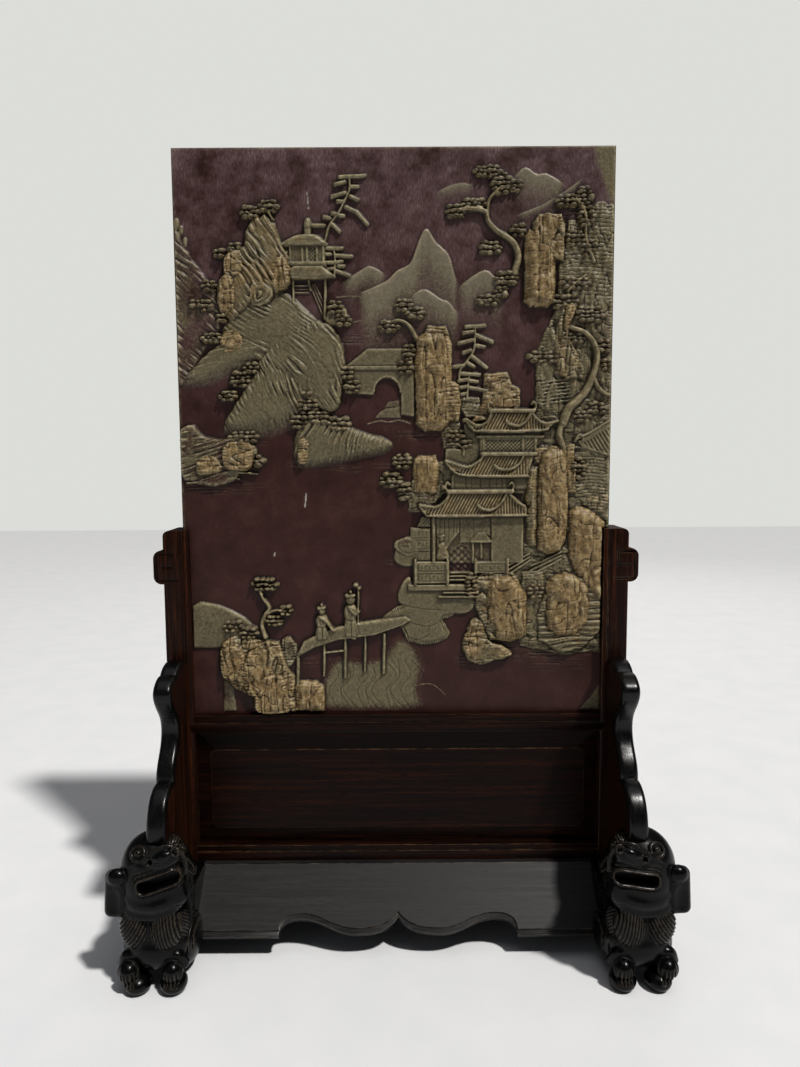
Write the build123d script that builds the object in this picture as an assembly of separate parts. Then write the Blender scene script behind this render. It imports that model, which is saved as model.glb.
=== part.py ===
# A table screen: a carved stone slab that lifts out of a dark hardwood stand.
# The front faces -Y and +Z is up. The origin is the middle of the footprint, on the table. Millimetres.
import os
from math import atan2, degrees, hypot

from build123d import *

os.makedirs("parts", exist_ok=True)

# The stone slab
slab_width = 380.0
slab_height = 500.0
slab_thickness = 22.0
slab_edge_bevel = 1.0

# The heights of the stand, from the table up
foot_top_z = 64.5
bottom_rail_height = 14.4
waist_height = 106.5
top_rail_height = 15.9
post_height = 304.5

# The frame members
post_width = 22.0
post_depth = 38.0
post_top_round = 5.0
bead_width = 4.0
bead_groove = 1.0
shoulder_depth = 2.0
top_rail_bead_height = 6.4
bottom_rail_bead_height = 5.3

# Joints between the frame members
slab_side_groove = 6.0
slab_rail_groove = 5.0
slab_clearance = 0.3
rail_tenon_length = 13.0
rail_tenon_depth = 20.0
rail_tenon_shoulder = 3.0
foot_tenon_length = 34.0
foot_tenon_width = 12.0
foot_tenon_depth = 24.0

# The waist panel, with a raised field on its front
panel_thickness = 12.0
panel_recess = 8.0
panel_tongue = 5.0
panel_tongue_thickness = 6.0
field_side_margin = 12.5
field_bottom_margin = 13.0
field_top_margin = 19.0
field_corner = 6.5
field_height = 1.2

# The scroll ears on the outer edges of the posts
ear_drop = 17.5
ear_height = 30.0
ear_reach = 9.0
ear_inset = 12.0
ear_corner = 7.0
ear_groove = 1.6
ear_groove_depth = 1.2
ear_scroll_end = 8.0

# The sloping aprons, front and back
apron_thickness = 8.0
apron_top_step = 6.0
apron_bottom_y = 70.0
apron_bottom_z = 23.0
apron_end_seat = 3.0
apron_lip_width = 4.5
apron_lip_depth = 1.5
apron_flat_inner_x = 103.5
apron_arch_x = 85.0
apron_arch_rise = 14.0
apron_dip_x = 36.0
apron_dip_rise = 1.5
apron_cusp_rise = 15.5
apron_cusp_lean = 0.6

# The carved feet, each with a lion at either end
foot_length = 238.0
foot_outward_shift = 3.0
foot_body_width = 46.0
lion_length = 55.0
foot_underside_z = 16.0
lion_height = 128.0

# The upright spandrels that brace the posts front and back
spandrel_thickness = 16.0
spandrel_edge_round = 4.0
spandrel_tongue = 7.0
spandrel_tongue_thickness = 6.0
spandrel_tongue_drop = 12.0
spandrel_top_z = 255.5
spandrel_front_setback = 15.5

# Longer than any piece, for the blocks that only cut
cutter_reach = 500.0

# Places that follow from the sizes above
post_inner_x = slab_width / 2 - slab_side_groove
post_centre_x = post_inner_x + post_width / 2
post_outer_x = post_inner_x + post_width
post_front_y = -post_depth / 2
bottom_rail_top_z = foot_top_z + bottom_rail_height
top_rail_bottom_z = bottom_rail_top_z + waist_height
top_rail_top_z = top_rail_bottom_z + top_rail_height
slab_bottom_z = top_rail_top_z - slab_rail_groove
post_top_z = foot_top_z + post_height
ear_bottom_z = post_top_z - ear_drop - ear_height
foot_centre_x = post_centre_x + foot_outward_shift
foot_inner_x = foot_centre_x - foot_body_width / 2
foot_front_y = -foot_length / 2
foot_body_length = foot_length - 2 * lion_length


def block(low, high):
    """A box between two opposite corners."""
    size = [b - a for a, b in zip(low, high)]
    middle = [(a + b) / 2 for a, b in zip(low, high)]
    return Pos(*middle) * Box(*size)


def prism(points, plane, depth):
    """A closed outline of straight runs on a plane, extruded along the plane's normal."""
    outline = make_face(Polyline(*points, close=True))
    return extrude(plane * outline, depth)


def front_and_back(solid):
    """The solid and its mirror image behind the XZ plane."""
    return solid, mirror(solid, Plane.XZ)


def four_corners(solid):
    """The front right solid, and its like at the front left, rear right and rear left."""
    return solid, mirror(solid, Plane.YZ), mirror(solid, Plane.XZ), Rot(0, 0, 180) * solid


# The carver's drawing for the slab's front: masses of rock, hill and building in relief.
# x runs from the middle of the slab and z is the height above the table, for a slab drawn_width
# wide and drawn_height tall that stands at drawn_base. Each mass has its height off the ground.
drawn_width = 380.0
drawn_height = 500.0
drawn_base = 196.3
relief_root = 2.0

# The hills and clouds, with curved outlines
HILLS = {
    "far_peaks": (1.0, [(-34, 573), (-6, 588), (14, 601), (28, 628), (46, 606), (55, 583), (81, 592),
                        (97, 572), (56, 560), (10, 568)]),
    "folded_hills": (4.0, [(-145, 547), (-124, 568), (-96, 571), (-70, 552), (-46, 527), (-45, 502),
                           (-49, 478), (-62, 473), (-84, 494), (-110, 530)]),
    "great_hill": (7.0, [(-112, 515), (-95, 507), (-80, 486), (-90, 460), (-112, 450), (-142, 452),
                         (-149, 468), (-130, 488), (-124, 503)]),
    "spit": (5.0, [(-87, 440), (-76, 468), (-52, 464), (-22, 453), (0, 441), (-14, 430), (-52, 429),
                   (-80, 425)]),
    "low_cloud": (3.0, [(-9, 290), (4, 298), (38, 297), (50, 290), (44, 282), (46, 269), (28, 264),
                        (8, 268)]),
    "high_cloud": (3.0, [(4, 312), (14, 326), (48, 316), (70, 314), (68, 293), (44, 296), (20, 300)]),
}

# The rocks and cliffs, cut square
ROCKS = {
    "far_left_slope": (2.5, [(-190, 620), (-176, 608), (-162, 585), (-152, 568), (-156, 540),
                             (-172, 522), (-190, 506)]),
    "ochre_shoulder": (5.0, [(-190, 502), (-168, 526), (-150, 545), (-134, 541), (-103, 530),
                             (-120, 515), (-150, 505)]),
    "near_hill": (3.0, [(-183, 268), (-183, 302), (-166, 304), (-140, 294), (-130, 282), (-133, 266)]),
    "wave_bank": (1.5, [(-64, 204), (-62, 234), (-52, 257), (-32, 240), (-8, 246), (2, 266), (16, 248),
                        (12, 224), (9, 204)]),
    "ochre_peak": (8.0, [(-135, 556), (-147, 557), (-155, 578), (-148, 604), (-130, 612), (-128, 630),
                         (-112, 640), (-102, 632), (-98, 611), (-86, 603), (-91, 577), (-118, 570)]),
    "shore_rocks": (7.0, [(-186, 462), (-166, 450), (-140, 450), (-125, 443), (-124, 424), (-143, 411),
                          (-178, 409), (-186, 425)]),
    "tall_pillar": (9.5, [(17, 457), (19, 538), (36, 543), (50, 534), (52, 500), (57, 491), (57, 455),
                          (30, 454)]),
    "cliff_pillar": (10.5, [(112, 562), (111, 625), (124, 639), (140, 639), (147, 628), (141, 565)]),
    "cliff": (4.0, [(190, 641), (170, 640), (166, 613), (143, 612), (143, 562), (135, 543), (123, 518),
                    (125, 473), (157, 462), (157, 400), (183, 369), (190, 370)]),
    "cliff_face": (6.5, [(139, 478), (140, 540), (147, 562), (156, 560), (152, 535), (168, 512),
                         (166, 497), (152, 478)]),
    "back_rock": (5.0, [(60, 462), (76, 482), (79, 505), (100, 506), (111, 489), (122, 480),
                        (122, 470)]),
    "garden_rock": (7.0, [(11, 392), (16, 428), (37, 430), (40, 398)]),
    "court_pillar": (10.5, [(116, 350), (114, 395), (118, 422), (128, 438), (152, 441), (159, 425),
                            (153, 388), (150, 347), (126, 345)]),
    "edge_pillar": (9.0, [(153, 345), (153, 386), (172, 385), (183, 377), (183, 302), (163, 326)]),
    "step_rock": (10.0, [(70, 304), (72, 328), (104, 328), (118, 312), (120, 270), (96, 266),
                         (84, 276)]),
    "round_rock": (10.5, [(129, 300), (133, 320), (150, 330), (166, 326), (176, 308), (176, 272),
                          (160, 258), (138, 264)]),
    "rock_seat": (4.0, [(118, 276), (118, 322), (133, 322), (133, 276)]),
    "drip_rock": (7.5, [(61, 262), (66, 284), (76, 290), (86, 266), (106, 257), (100, 250),
                        (70, 248)]),
    "bank_rocks": (9.0, [(-128, 218), (-146, 227), (-159, 240), (-157, 268), (-112, 266), (-99, 240),
                         (-97, 204), (-126, 204)]),
    "bridge_rock": (6.0, [(-92, 206), (-92, 231), (-72, 234), (-64, 226), (-64, 206)]),
}

# The gate, the tower, the stepped hall and the bridge
BUILDINGS = {
    "gate_wall": (3.0, [(-43, 514), (-24, 528), (16, 528), (16, 472), (5, 474), (3, 498), (-6, 503),
                        (-15, 498), (-19, 484), (-42, 490)]),
    "tower_cap": (6.0, [(-96, 616), (-80, 624), (-74, 635), (-68, 623), (-58, 613)]),
    "tower_drum": (4.5, [(-89, 597), (-89, 614), (-60, 614), (-60, 597)]),
    "tower_skirt": (7.0, [(-90, 587), (-90, 597), (-60, 597), (-51, 587)]),
    "tower_post": (4.0, [(-61, 554), (-61, 588), (-58, 588), (-58, 554)]),
    "upper_roof": (8.0, [(62, 466), (78, 461), (84, 472), (121, 472), (128, 460), (142, 462), (128, 455),
                         (74, 455)]),
    "upper_wall": (5.0, [(78, 434), (78, 456), (126, 456), (122, 434)]),
    "middle_roof": (8.0, [(43, 429), (60, 425), (76, 436), (122, 436), (118, 416), (58, 417)]),
    "middle_wall": (5.0, [(48, 404), (50, 418), (114, 418), (114, 404)]),
    "lower_roof": (8.0, [(20, 389), (34, 387), (46, 404), (103, 404), (115, 388), (114, 381),
                         (32, 381)]),
    "lower_wall": (4.0, [(84, 339), (84, 382), (113, 382), (117, 346), (104, 338)]),
    "veranda_wall": (3.0, [(32, 339), (32, 382), (84, 382), (84, 357), (56, 357), (46, 339)]),
    "balustrade": (6.0, [(16, 321), (16, 340), (48, 340), (48, 321)]),
    "bridge_deck": (6.0, [(-91, 253), (-84, 270), (-56, 281), (6, 290), (10, 277), (-46, 269)]),
}

# The bridge's posts: where each stands, and how far down it reaches
BRIDGE_POSTS = {-91.0: 234.0, -47.0: 233.0, -11.0: 238.0}
bridge_post_top = 268.0
bridge_post_width = 2.5
bridge_post_height = 3.5

# The two people on the bridge: foot of the figure (x, z), its height and its girth
BRIDGE_FIGURES = [(-66.0, 268.0, 33.0, 11.0), (-41.0, 271.0, 40.0, 12.0)]
figure_relief = 5.0


def drawn_to_slab(x, z):
    """A point of the carver's drawing, on the slab's face."""
    face_x = x * slab_width / drawn_width
    face_z = slab_bottom_z + (z - drawn_base) * slab_height / drawn_height
    return face_x, face_z


def raised(outline, height):
    """A face on the slab's front, raised by its height and rooted in the slab."""
    face_plane = Plane.XZ.offset(slab_thickness / 2 - relief_root)
    return extrude(face_plane * outline, height + relief_root)


def relief_masses():
    """Every mass of the relief as a solid."""
    masses = []
    for height, points in HILLS.values():
        curve = Spline(*[drawn_to_slab(*p) for p in points], periodic=True)
        masses.append(raised(make_face(curve), height))
    for group in (ROCKS, BUILDINGS):
        for height, points in group.values():
            line = Polyline(*[drawn_to_slab(*p) for p in points], close=True)
            masses.append(raised(make_face(line), height))
    for x, foot_z in BRIDGE_POSTS.items():
        low = drawn_to_slab(x - bridge_post_width / 2, foot_z)
        high = drawn_to_slab(x + bridge_post_width / 2, bridge_post_top)
        line = Polyline(low, (high[0], low[1]), high, (low[0], high[1]), close=True)
        masses.append(raised(make_face(line), bridge_post_height))
    for x, foot_z, height, girth in BRIDGE_FIGURES:
        foot_x, ground_z = drawn_to_slab(x, foot_z)
        head = girth / 4
        head_z = ground_z + height - head
        robe_size = (girth / 2, figure_relief, (head_z - ground_z) / 2)
        face_y = -slab_thickness / 2
        masses.append(Pos(foot_x, face_y, (ground_z + head_z) / 2) * scale(Sphere(1), by=robe_size))
        masses.append(Pos(foot_x, face_y - figure_relief / 2, head_z) * Sphere(head))
    return masses


def make_stone_slab():
    """The slab, with the relief standing off its front face."""
    low = (-slab_width / 2, -slab_thickness / 2, slab_bottom_z)
    high = (slab_width / 2, slab_thickness / 2, slab_bottom_z + slab_height)
    slab = chamfer(block(low, high).edges(), slab_edge_bevel)
    return slab.fuse(*relief_masses()).clean()


def rail(bottom_z, height, bead_height, groove_depth):
    """A rail between the posts, tenoned into them, with a bead along its upper front and back.

    The tenons stay below the groove that is cut in the rail's top.
    """
    top_z = bottom_z + height
    body = block((-post_inner_x, post_front_y, bottom_z), (post_inner_x, -post_front_y, top_z))
    half_tenon = rail_tenon_depth / 2
    tenon_x = post_inner_x + rail_tenon_length
    tenon = block((-tenon_x, -half_tenon, bottom_z + rail_tenon_shoulder),
                  (tenon_x, half_tenon, top_z - groove_depth - rail_tenon_shoulder))
    body = body + tenon
    low_z = top_z - bead_height - bead_groove / 2
    for groove in front_and_back(block((-post_inner_x, post_front_y, low_z),
                                       (post_inner_x, post_front_y + bead_groove, low_z + bead_groove))):
        body = body - groove
    return body


def shoulder_tip():
    """The pointed end of the top rail that laps over the right-hand post's bead, at the front."""
    flat_top_z = top_rail_top_z - top_rail_bead_height
    middle_z = (flat_top_z + top_rail_bottom_z) / 2
    tip_x = post_inner_x + bead_width + bead_groove / 2
    points = [(post_inner_x, flat_top_z), (tip_x, middle_z), (post_inner_x, top_rail_bottom_z)]
    return prism(points, Plane.XZ.offset(-post_front_y - shoulder_depth), shoulder_depth)


def panel_body():
    """The waist panel's board, with the tongue all round that the frame holds."""
    front_y = post_front_y + panel_recess
    board = block((-post_inner_x, front_y, bottom_rail_top_z),
                  (post_inner_x, front_y + panel_thickness, top_rail_bottom_z))
    tongue_y = front_y + (panel_thickness - panel_tongue_thickness) / 2
    tongue = block((-post_inner_x - panel_tongue, tongue_y, bottom_rail_top_z - panel_tongue),
                   (post_inner_x + panel_tongue, tongue_y + panel_tongue_thickness,
                    top_rail_bottom_z + panel_tongue))
    return board + tongue


def make_waist_panel():
    """The waist panel: the margin round its front is cut back from the raised field."""
    front_y = post_front_y + panel_recess
    field_width = 2 * (post_inner_x - field_side_margin)
    field_tall = waist_height - field_bottom_margin - field_top_margin
    field_z = bottom_rail_top_z + field_bottom_margin + field_tall / 2
    cutter = block((-post_inner_x, front_y, bottom_rail_top_z),
                   (post_inner_x, front_y + field_height, top_rail_bottom_z))
    field_plane = Plane.XZ.offset(-front_y - field_height)
    field = Pos(0, field_z) * RectangleRounded(field_width, field_tall, field_corner)
    cutter = cutter - extrude(field_plane * field, field_height)
    return panel_body() - cutter


def ear_cutters():
    """The grooves of the squared scroll on the right-hand ear, cut into its front."""
    inner_x = post_outer_x - ear_inset
    outer_x = post_outer_x + ear_reach
    rim = 2 * ear_groove
    top_z = ear_bottom_z + ear_height
    low_z = ear_bottom_z + rim
    middle_z = ear_bottom_z + ear_height / 2
    path = [(inner_x, low_z), (outer_x - rim, low_z), (outer_x - rim, top_z - rim),
            (inner_x + rim, top_z - rim), (inner_x + rim, middle_z),
            (outer_x - ear_scroll_end, middle_z)]
    plane = Plane.XZ.offset(-post_front_y - ear_groove_depth)
    cutters = []
    for (x0, z0), (x1, z1) in zip(path, path[1:]):
        length = hypot(x1 - x0, z1 - z0) + ear_groove
        turn = degrees(atan2(z1 - z0, x1 - x0))
        run = Pos((x0 + x1) / 2, (z0 + z1) / 2) * Rot(0, 0, turn) * Rectangle(length, ear_groove)
        cutters.append(extrude(plane * run, ear_groove_depth))
    return cutters


def make_right_post():
    """The right-hand post, with its ear, grooves, mortises and the tenon that enters the foot."""
    post = block((post_inner_x, post_front_y, foot_top_z), (post_outer_x, -post_front_y, post_top_z))
    top_corner = post.edges().filter_by(Axis.Y).sort_by(Axis.Z)[-2:].sort_by(Axis.X)[-1]
    post = fillet(top_corner, post_top_round)
    ear = block((post_outer_x - ear_inset, post_front_y, ear_bottom_z),
                (post_outer_x + ear_reach, -post_front_y, ear_bottom_z + ear_height))
    outer_edges = ear.edges().filter_by(Axis.Y).sort_by(Axis.X)[-2:]
    post = post + fillet(outer_edges, ear_corner)
    post = post + block((post_centre_x - foot_tenon_width / 2, -foot_tenon_depth / 2,
                         foot_top_z - foot_tenon_length),
                        (post_centre_x + foot_tenon_width / 2, foot_tenon_depth / 2, foot_top_z))
    groove_x = post_inner_x + bead_width
    for groove in front_and_back(block((groove_x, post_front_y, foot_top_z),
                                       (groove_x + bead_groove, post_front_y + bead_groove, post_top_z))):
        post = post - groove
    half_slab = slab_thickness / 2 + slab_clearance
    slab_groove = block((post_inner_x, -half_slab, slab_bottom_z - slab_clearance),
                        (post_inner_x + slab_side_groove + slab_clearance, half_slab, post_top_z))
    post = post - slab_groove
    for cutter in ear_cutters():
        for groove in front_and_back(cutter):
            post = post - groove
    return post


def apron_outline():
    """The apron's outline on its own board: x along it, y up its slope from the top edge.

    It runs on past the top edge, where the board is cut level.
    """
    top_y = 2 * apron_thickness
    flat_y = -apron_slope_length()
    end_x = foot_inner_x + apron_end_seat
    flat_end = (apron_flat_inner_x, flat_y)
    arch = (apron_arch_x, flat_y + apron_arch_rise)
    dip = (apron_dip_x, flat_y + apron_dip_rise)
    cusp = (0, flat_y + apron_cusp_rise)
    right = Polyline((0, top_y), (end_x, top_y), (end_x, flat_y), flat_end)
    right += Spline(flat_end, arch, tangents=[(0, 1), (-1, 0)])
    right += Spline(arch, dip, tangents=[(-1, 0), (-1, 0)])
    right += Spline(dip, cusp, tangents=[(-1, 0), (-apron_cusp_lean, 1)])
    return make_face(right + mirror(right, Plane.YZ))


def apron_slope_length():
    """The length of the apron's face from its top edge to its bottom edge."""
    return hypot(apron_bottom_y - apron_top_y(), foot_top_z - apron_bottom_z)


def apron_top_y():
    """How far in front of the centre plane the apron's top edge lies."""
    return post_depth / 2 + apron_top_step


def make_front_apron():
    """The front apron: a sloping board whose lower edge is cut to a cusped curve."""
    fall = foot_top_z - apron_bottom_z
    reach = apron_bottom_y - apron_top_y()
    slope = apron_slope_length()
    face_normal = (0, -fall / slope, reach / slope)
    plane = Plane(origin=(0, -apron_top_y(), foot_top_z), x_dir=(1, 0, 0), z_dir=face_normal)
    outline = apron_outline()
    board = extrude(plane * outline, -apron_thickness)
    lip = outline - Pos(0, apron_lip_width) * outline
    board = board - extrude(plane * lip, -apron_lip_depth)
    above = block((-cutter_reach, -cutter_reach, foot_top_z), (cutter_reach, cutter_reach, cutter_reach))
    return board - above


# One lion of a foot, as the carver blocks it out: the middle and the half-sizes of each mass.
# x is outward from the foot's centre line, y is back from its front end, z is above the table.
LION_MASSES = {
    "crown": ((2, 26, 96), (28, 25, 32)),
    "jaw": ((0, 20, 80), (25, 19, 17)),
    "muzzle": ((-9, 12, 104), (17, 12, 15)),
    "outer_ear": ((33, 30, 79), (7, 11, 23)),
    "inner_ear": ((-25, 28, 99), (6, 11, 18)),
    "chest": ((1, 30, 52), (27, 24, 26)),
    "belly": ((1, 26, 33), (27, 23, 22)),
    "back": ((0, 46, 66), (23, 20, 44)),
    "outer_haunch": ((22, 40, 27), (12, 24, 21)),
    "inner_haunch": ((-19, 42, 28), (12, 24, 21)),
    "outer_forepaw": ((19, 9, 18), (9, 9, 10)),
    "inner_forepaw": ((-14, 9, 18), (9, 9, 10)),
    "outer_hind_foot": ((14, 14, 7), (11, 14, 9)),
    "inner_hind_foot": ((-14, 14, 7), (11, 14, 9)),
}
drawn_lion_height = 128.0


def front_lion():
    """The blocked-out lion at the front of the right-hand foot."""
    tall = lion_height / drawn_lion_height
    masses = []
    for (x, y, z), (half_x, half_y, half_z) in LION_MASSES.values():
        half_sizes = (half_x, half_y, half_z * tall)
        masses.append(Pos(foot_centre_x + x, foot_front_y + y, z * tall) * scale(Sphere(1), by=half_sizes))
    return masses


def make_right_foot(fixed_into_it):
    """The right-hand foot: one carved block with a lion at each end, seated round what it holds."""
    half_length = foot_body_length / 2
    outer_x = foot_centre_x + foot_body_width / 2
    body = block((foot_inner_x, -half_length, foot_underside_z), (outer_x, half_length, foot_top_z))
    lions = []
    for mass in front_lion():
        lions.extend(front_and_back(mass))
    foot = body.fuse(*lions)
    foot = foot - block((-cutter_reach, -cutter_reach, -cutter_reach), (cutter_reach, cutter_reach, 0))
    for piece in fixed_into_it:
        foot = foot - piece
    return foot


# The spandrel's front edge in three curved steps, from the post down to the lion's crown: how far
# each point is ahead of the post and how far below the spandrel's top, drawn for drawn_reach
# ahead and drawn_drop from the spandrel's top to the lion's crown.
SPANDREL_STEPS = [
    [(0, 4), (10, 0), (25, 1), (34, 6.5)],
    [(34, 6.5), (47, 8), (56, 17), (50, 32), (37, 50), (38, 62), (48, 76), (55.5, 92)],
    [(55.5, 92), (72, 97), (82, 109), (84.5, 137.5)],
]
drawn_reach = 84.5
drawn_drop = 127.5

# The spandrel's foot goes this deep into the lion's head and back: back from the foot's front end,
# and above the table. The lion is then cut out of it, so that it sits on the carving.
SPANDREL_SEAT = [(47, 100), (57, 84), (60, 64.5)]


def spandrel_edge():
    """The outline of the right-hand front spandrel, on the YZ plane."""
    forward = (-foot_front_y + post_front_y - spandrel_front_setback) / drawn_reach
    down = (spandrel_top_z - lion_height) / drawn_drop
    tall = lion_height / drawn_lion_height
    edge = []
    for step in SPANDREL_STEPS:
        edge.append([(post_front_y - y * forward, spandrel_top_z - z * down) for y, z in step])
    seat = [(foot_front_y + y, max(z * tall, foot_top_z)) for y, z in SPANDREL_SEAT]
    outline = Curve() + [Spline(*step) for step in edge]
    return outline + Polyline(edge[-1][-1], *seat, (post_front_y, foot_top_z), edge[0][0])


def make_front_spandrel():
    """The right-hand front spandrel, with the tongue along its back that enters the post."""
    plane = Plane.YZ.offset(post_centre_x - spandrel_thickness / 2)
    plate = extrude(plane * make_face(spandrel_edge()), spandrel_thickness)
    plate = fillet(plate.edges().filter_by(GeomType.BSPLINE), spandrel_edge_round)
    half_tongue = spandrel_tongue_thickness / 2
    tongue = block((post_centre_x - half_tongue, post_front_y, foot_top_z),
                   (post_centre_x + half_tongue, post_front_y + spandrel_tongue,
                    spandrel_top_z - spandrel_tongue_drop))
    return plate + tongue


pieces = {}

pieces["stone_slab"] = make_stone_slab()

waist_panel = make_waist_panel()
groove_for_panel = panel_body()
top_rail = rail(top_rail_bottom_z, top_rail_height, top_rail_bead_height, slab_rail_groove)
for tip in four_corners(shoulder_tip()):
    top_rail = top_rail + tip
half_slab_groove = slab_thickness / 2 + slab_clearance
slab_groove = block((-post_inner_x, -half_slab_groove, slab_bottom_z),
                    (post_inner_x, half_slab_groove, top_rail_top_z))
pieces["top_rail"] = top_rail - slab_groove - groove_for_panel
bottom_rail = rail(foot_top_z, bottom_rail_height, bottom_rail_bead_height, panel_tongue)
pieces["bottom_rail"] = bottom_rail - groove_for_panel
pieces["waist_panel"] = waist_panel

front_apron = make_front_apron()
pieces["front_apron"], pieces["rear_apron"] = front_and_back(front_apron)

right_post = make_right_post() - pieces["top_rail"] - pieces["bottom_rail"] - groove_for_panel
spandrel = make_front_spandrel()
rear_spandrel = mirror(spandrel, Plane.XZ)
right_post = right_post - spandrel - rear_spandrel
right_foot = make_right_foot([right_post, pieces["front_apron"], pieces["rear_apron"]])
pieces["right_foot"] = right_foot
pieces["left_foot"] = mirror(right_foot, Plane.YZ)
pieces["right_post"] = right_post
pieces["left_post"] = mirror(right_post, Plane.YZ)

seated_spandrel = spandrel - right_foot
corners = ("front_right", "front_left", "rear_right", "rear_left")
for corner, plate in zip(corners, four_corners(seated_spandrel)):
    pieces[corner + "_spandrel"] = plate

for name, solid in pieces.items():
    export_step(solid, "parts/" + name + ".step")
    print(name, "volume", round(solid.volume / 1000, 2), "cm3, solids", len(solid.solids()))
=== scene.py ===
"""A table screen: a relief-carved stone slab in a dark hardwood stand on carved lion feet.

The finish and the carving are built here round the frame. Lengths in the carving are in
millimetres; everything that goes to Blender is in metres.
"""
import math

import bmesh
import bpy
import numpy as np
import openvdb
from mathutils import Matrix, Vector


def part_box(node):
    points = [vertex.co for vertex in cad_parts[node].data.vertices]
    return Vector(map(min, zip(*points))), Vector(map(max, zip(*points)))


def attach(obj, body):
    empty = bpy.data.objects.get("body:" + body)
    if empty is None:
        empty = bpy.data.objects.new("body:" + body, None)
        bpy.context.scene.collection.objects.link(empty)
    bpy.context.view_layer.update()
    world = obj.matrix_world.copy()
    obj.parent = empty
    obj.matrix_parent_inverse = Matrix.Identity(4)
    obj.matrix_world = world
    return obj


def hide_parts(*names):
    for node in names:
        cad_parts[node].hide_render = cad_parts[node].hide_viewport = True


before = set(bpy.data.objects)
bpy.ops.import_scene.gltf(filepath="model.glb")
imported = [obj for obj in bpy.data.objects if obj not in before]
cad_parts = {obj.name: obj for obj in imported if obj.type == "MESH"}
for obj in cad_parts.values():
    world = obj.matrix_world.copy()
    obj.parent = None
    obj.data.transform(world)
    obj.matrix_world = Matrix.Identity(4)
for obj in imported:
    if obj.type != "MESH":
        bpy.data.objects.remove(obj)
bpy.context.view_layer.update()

MM = 0.001


# Colours and nodes

def colour(code):
    """An sRGB hex colour as the linear values that the shaders take."""
    channels = [int(code[i:i + 2], 16) / 255 for i in (1, 3, 5)]
    linear = [c / 12.92 if c <= 0.04045 else ((c + 0.055) / 1.055) ** 2.4 for c in channels]
    return (*linear, 1.0)


def add(tree, kind, inputs=None, **settings):
    """Adds a node with its settings. Each input is a value or another node's output."""
    node = tree.nodes.new(kind)
    for name, value in settings.items():
        setattr(node, name, value)
    for socket, value in (inputs or {}).items():
        if isinstance(value, bpy.types.NodeSocket):
            tree.links.new(value, node.inputs[socket])
        else:
            node.inputs[socket].default_value = value
    return node


def new_material(name):
    """An empty material. Gives it with its nodes, its shader and the place on the piece."""
    material = bpy.data.materials.new(name)
    material.use_nodes = True
    tree = material.node_tree
    tree.nodes.clear()
    shader = add(tree, "ShaderNodeBsdfPrincipled")
    add(tree, "ShaderNodeOutputMaterial", {"Surface": shader.outputs["BSDF"]})
    return material, tree, shader, add(tree, "ShaderNodeTexCoord").outputs["Object"]


def point_value(tree, name):
    """A value that each point of the piece carries."""
    return add(tree, "ShaderNodeAttribute", attribute_name=name).outputs["Fac"]


def clouds(tree, place, cell, detail=2, roughness=0.5, distortion=0.0):
    """Cloudy values from 0 to 1, in cells of so many millimetres."""
    return add(tree, "ShaderNodeTexNoise",
               {"Vector": place, "Scale": 1 / (cell * MM), "Detail": detail, "Roughness": roughness,
                "Distortion": distortion}).outputs["Fac"]


def stretched(tree, place, by):
    """A place, scaled along each axis."""
    return add(tree, "ShaderNodeVectorMath", {0: place, 1: by}, operation="MULTIPLY").outputs[0]


def remapped(tree, value, low, high, to_low=0.0, to_high=1.0):
    """A value taken from one range to another, and held inside it."""
    return add(tree, "ShaderNodeMapRange",
               {"Value": value, "From Min": low, "From Max": high, "To Min": to_low,
                "To Max": to_high}).outputs[0]


def times(tree, value, factor, plus=0.0):
    """A value times another, plus a third."""
    return add(tree, "ShaderNodeMath", {0: value, 1: factor, 2: plus}, operation="MULTIPLY_ADD").outputs[0]


def toned(tree, value, *stops):
    """A colour for a value, between stops of a value and a hex colour."""
    node = add(tree, "ShaderNodeValToRGB", {"Fac": value})
    while len(node.color_ramp.elements) < len(stops):
        node.color_ramp.elements.new(1.0)
    for element, (place, code) in zip(node.color_ramp.elements, stops):
        element.position = place
        element.color = colour(code)
    return node.outputs[0]


def over(tree, share, under, top):
    """One colour laid over another by a share."""
    return add(tree, "ShaderNodeMix", {"Factor": share, "A": under, "B": top},
               data_type="RGBA").outputs["Result"]


def finish(tree, shader, tone, roughness, height=None, strength=0.0, depth=0.0):
    """Gives the shader its colour and roughness, and a fine bump of so many millimetres."""
    tree.links.new(tone, shader.inputs["Base Color"])
    if isinstance(roughness, bpy.types.NodeSocket):
        tree.links.new(roughness, shader.inputs["Roughness"])
    else:
        shader.inputs["Roughness"].default_value = roughness
    if height is not None:
        bump = add(tree, "ShaderNodeBump", {"Height": height, "Strength": strength, "Distance": depth * MM})
        tree.links.new(bump.outputs["Normal"], shader.inputs["Normal"])


# Materials

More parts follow.
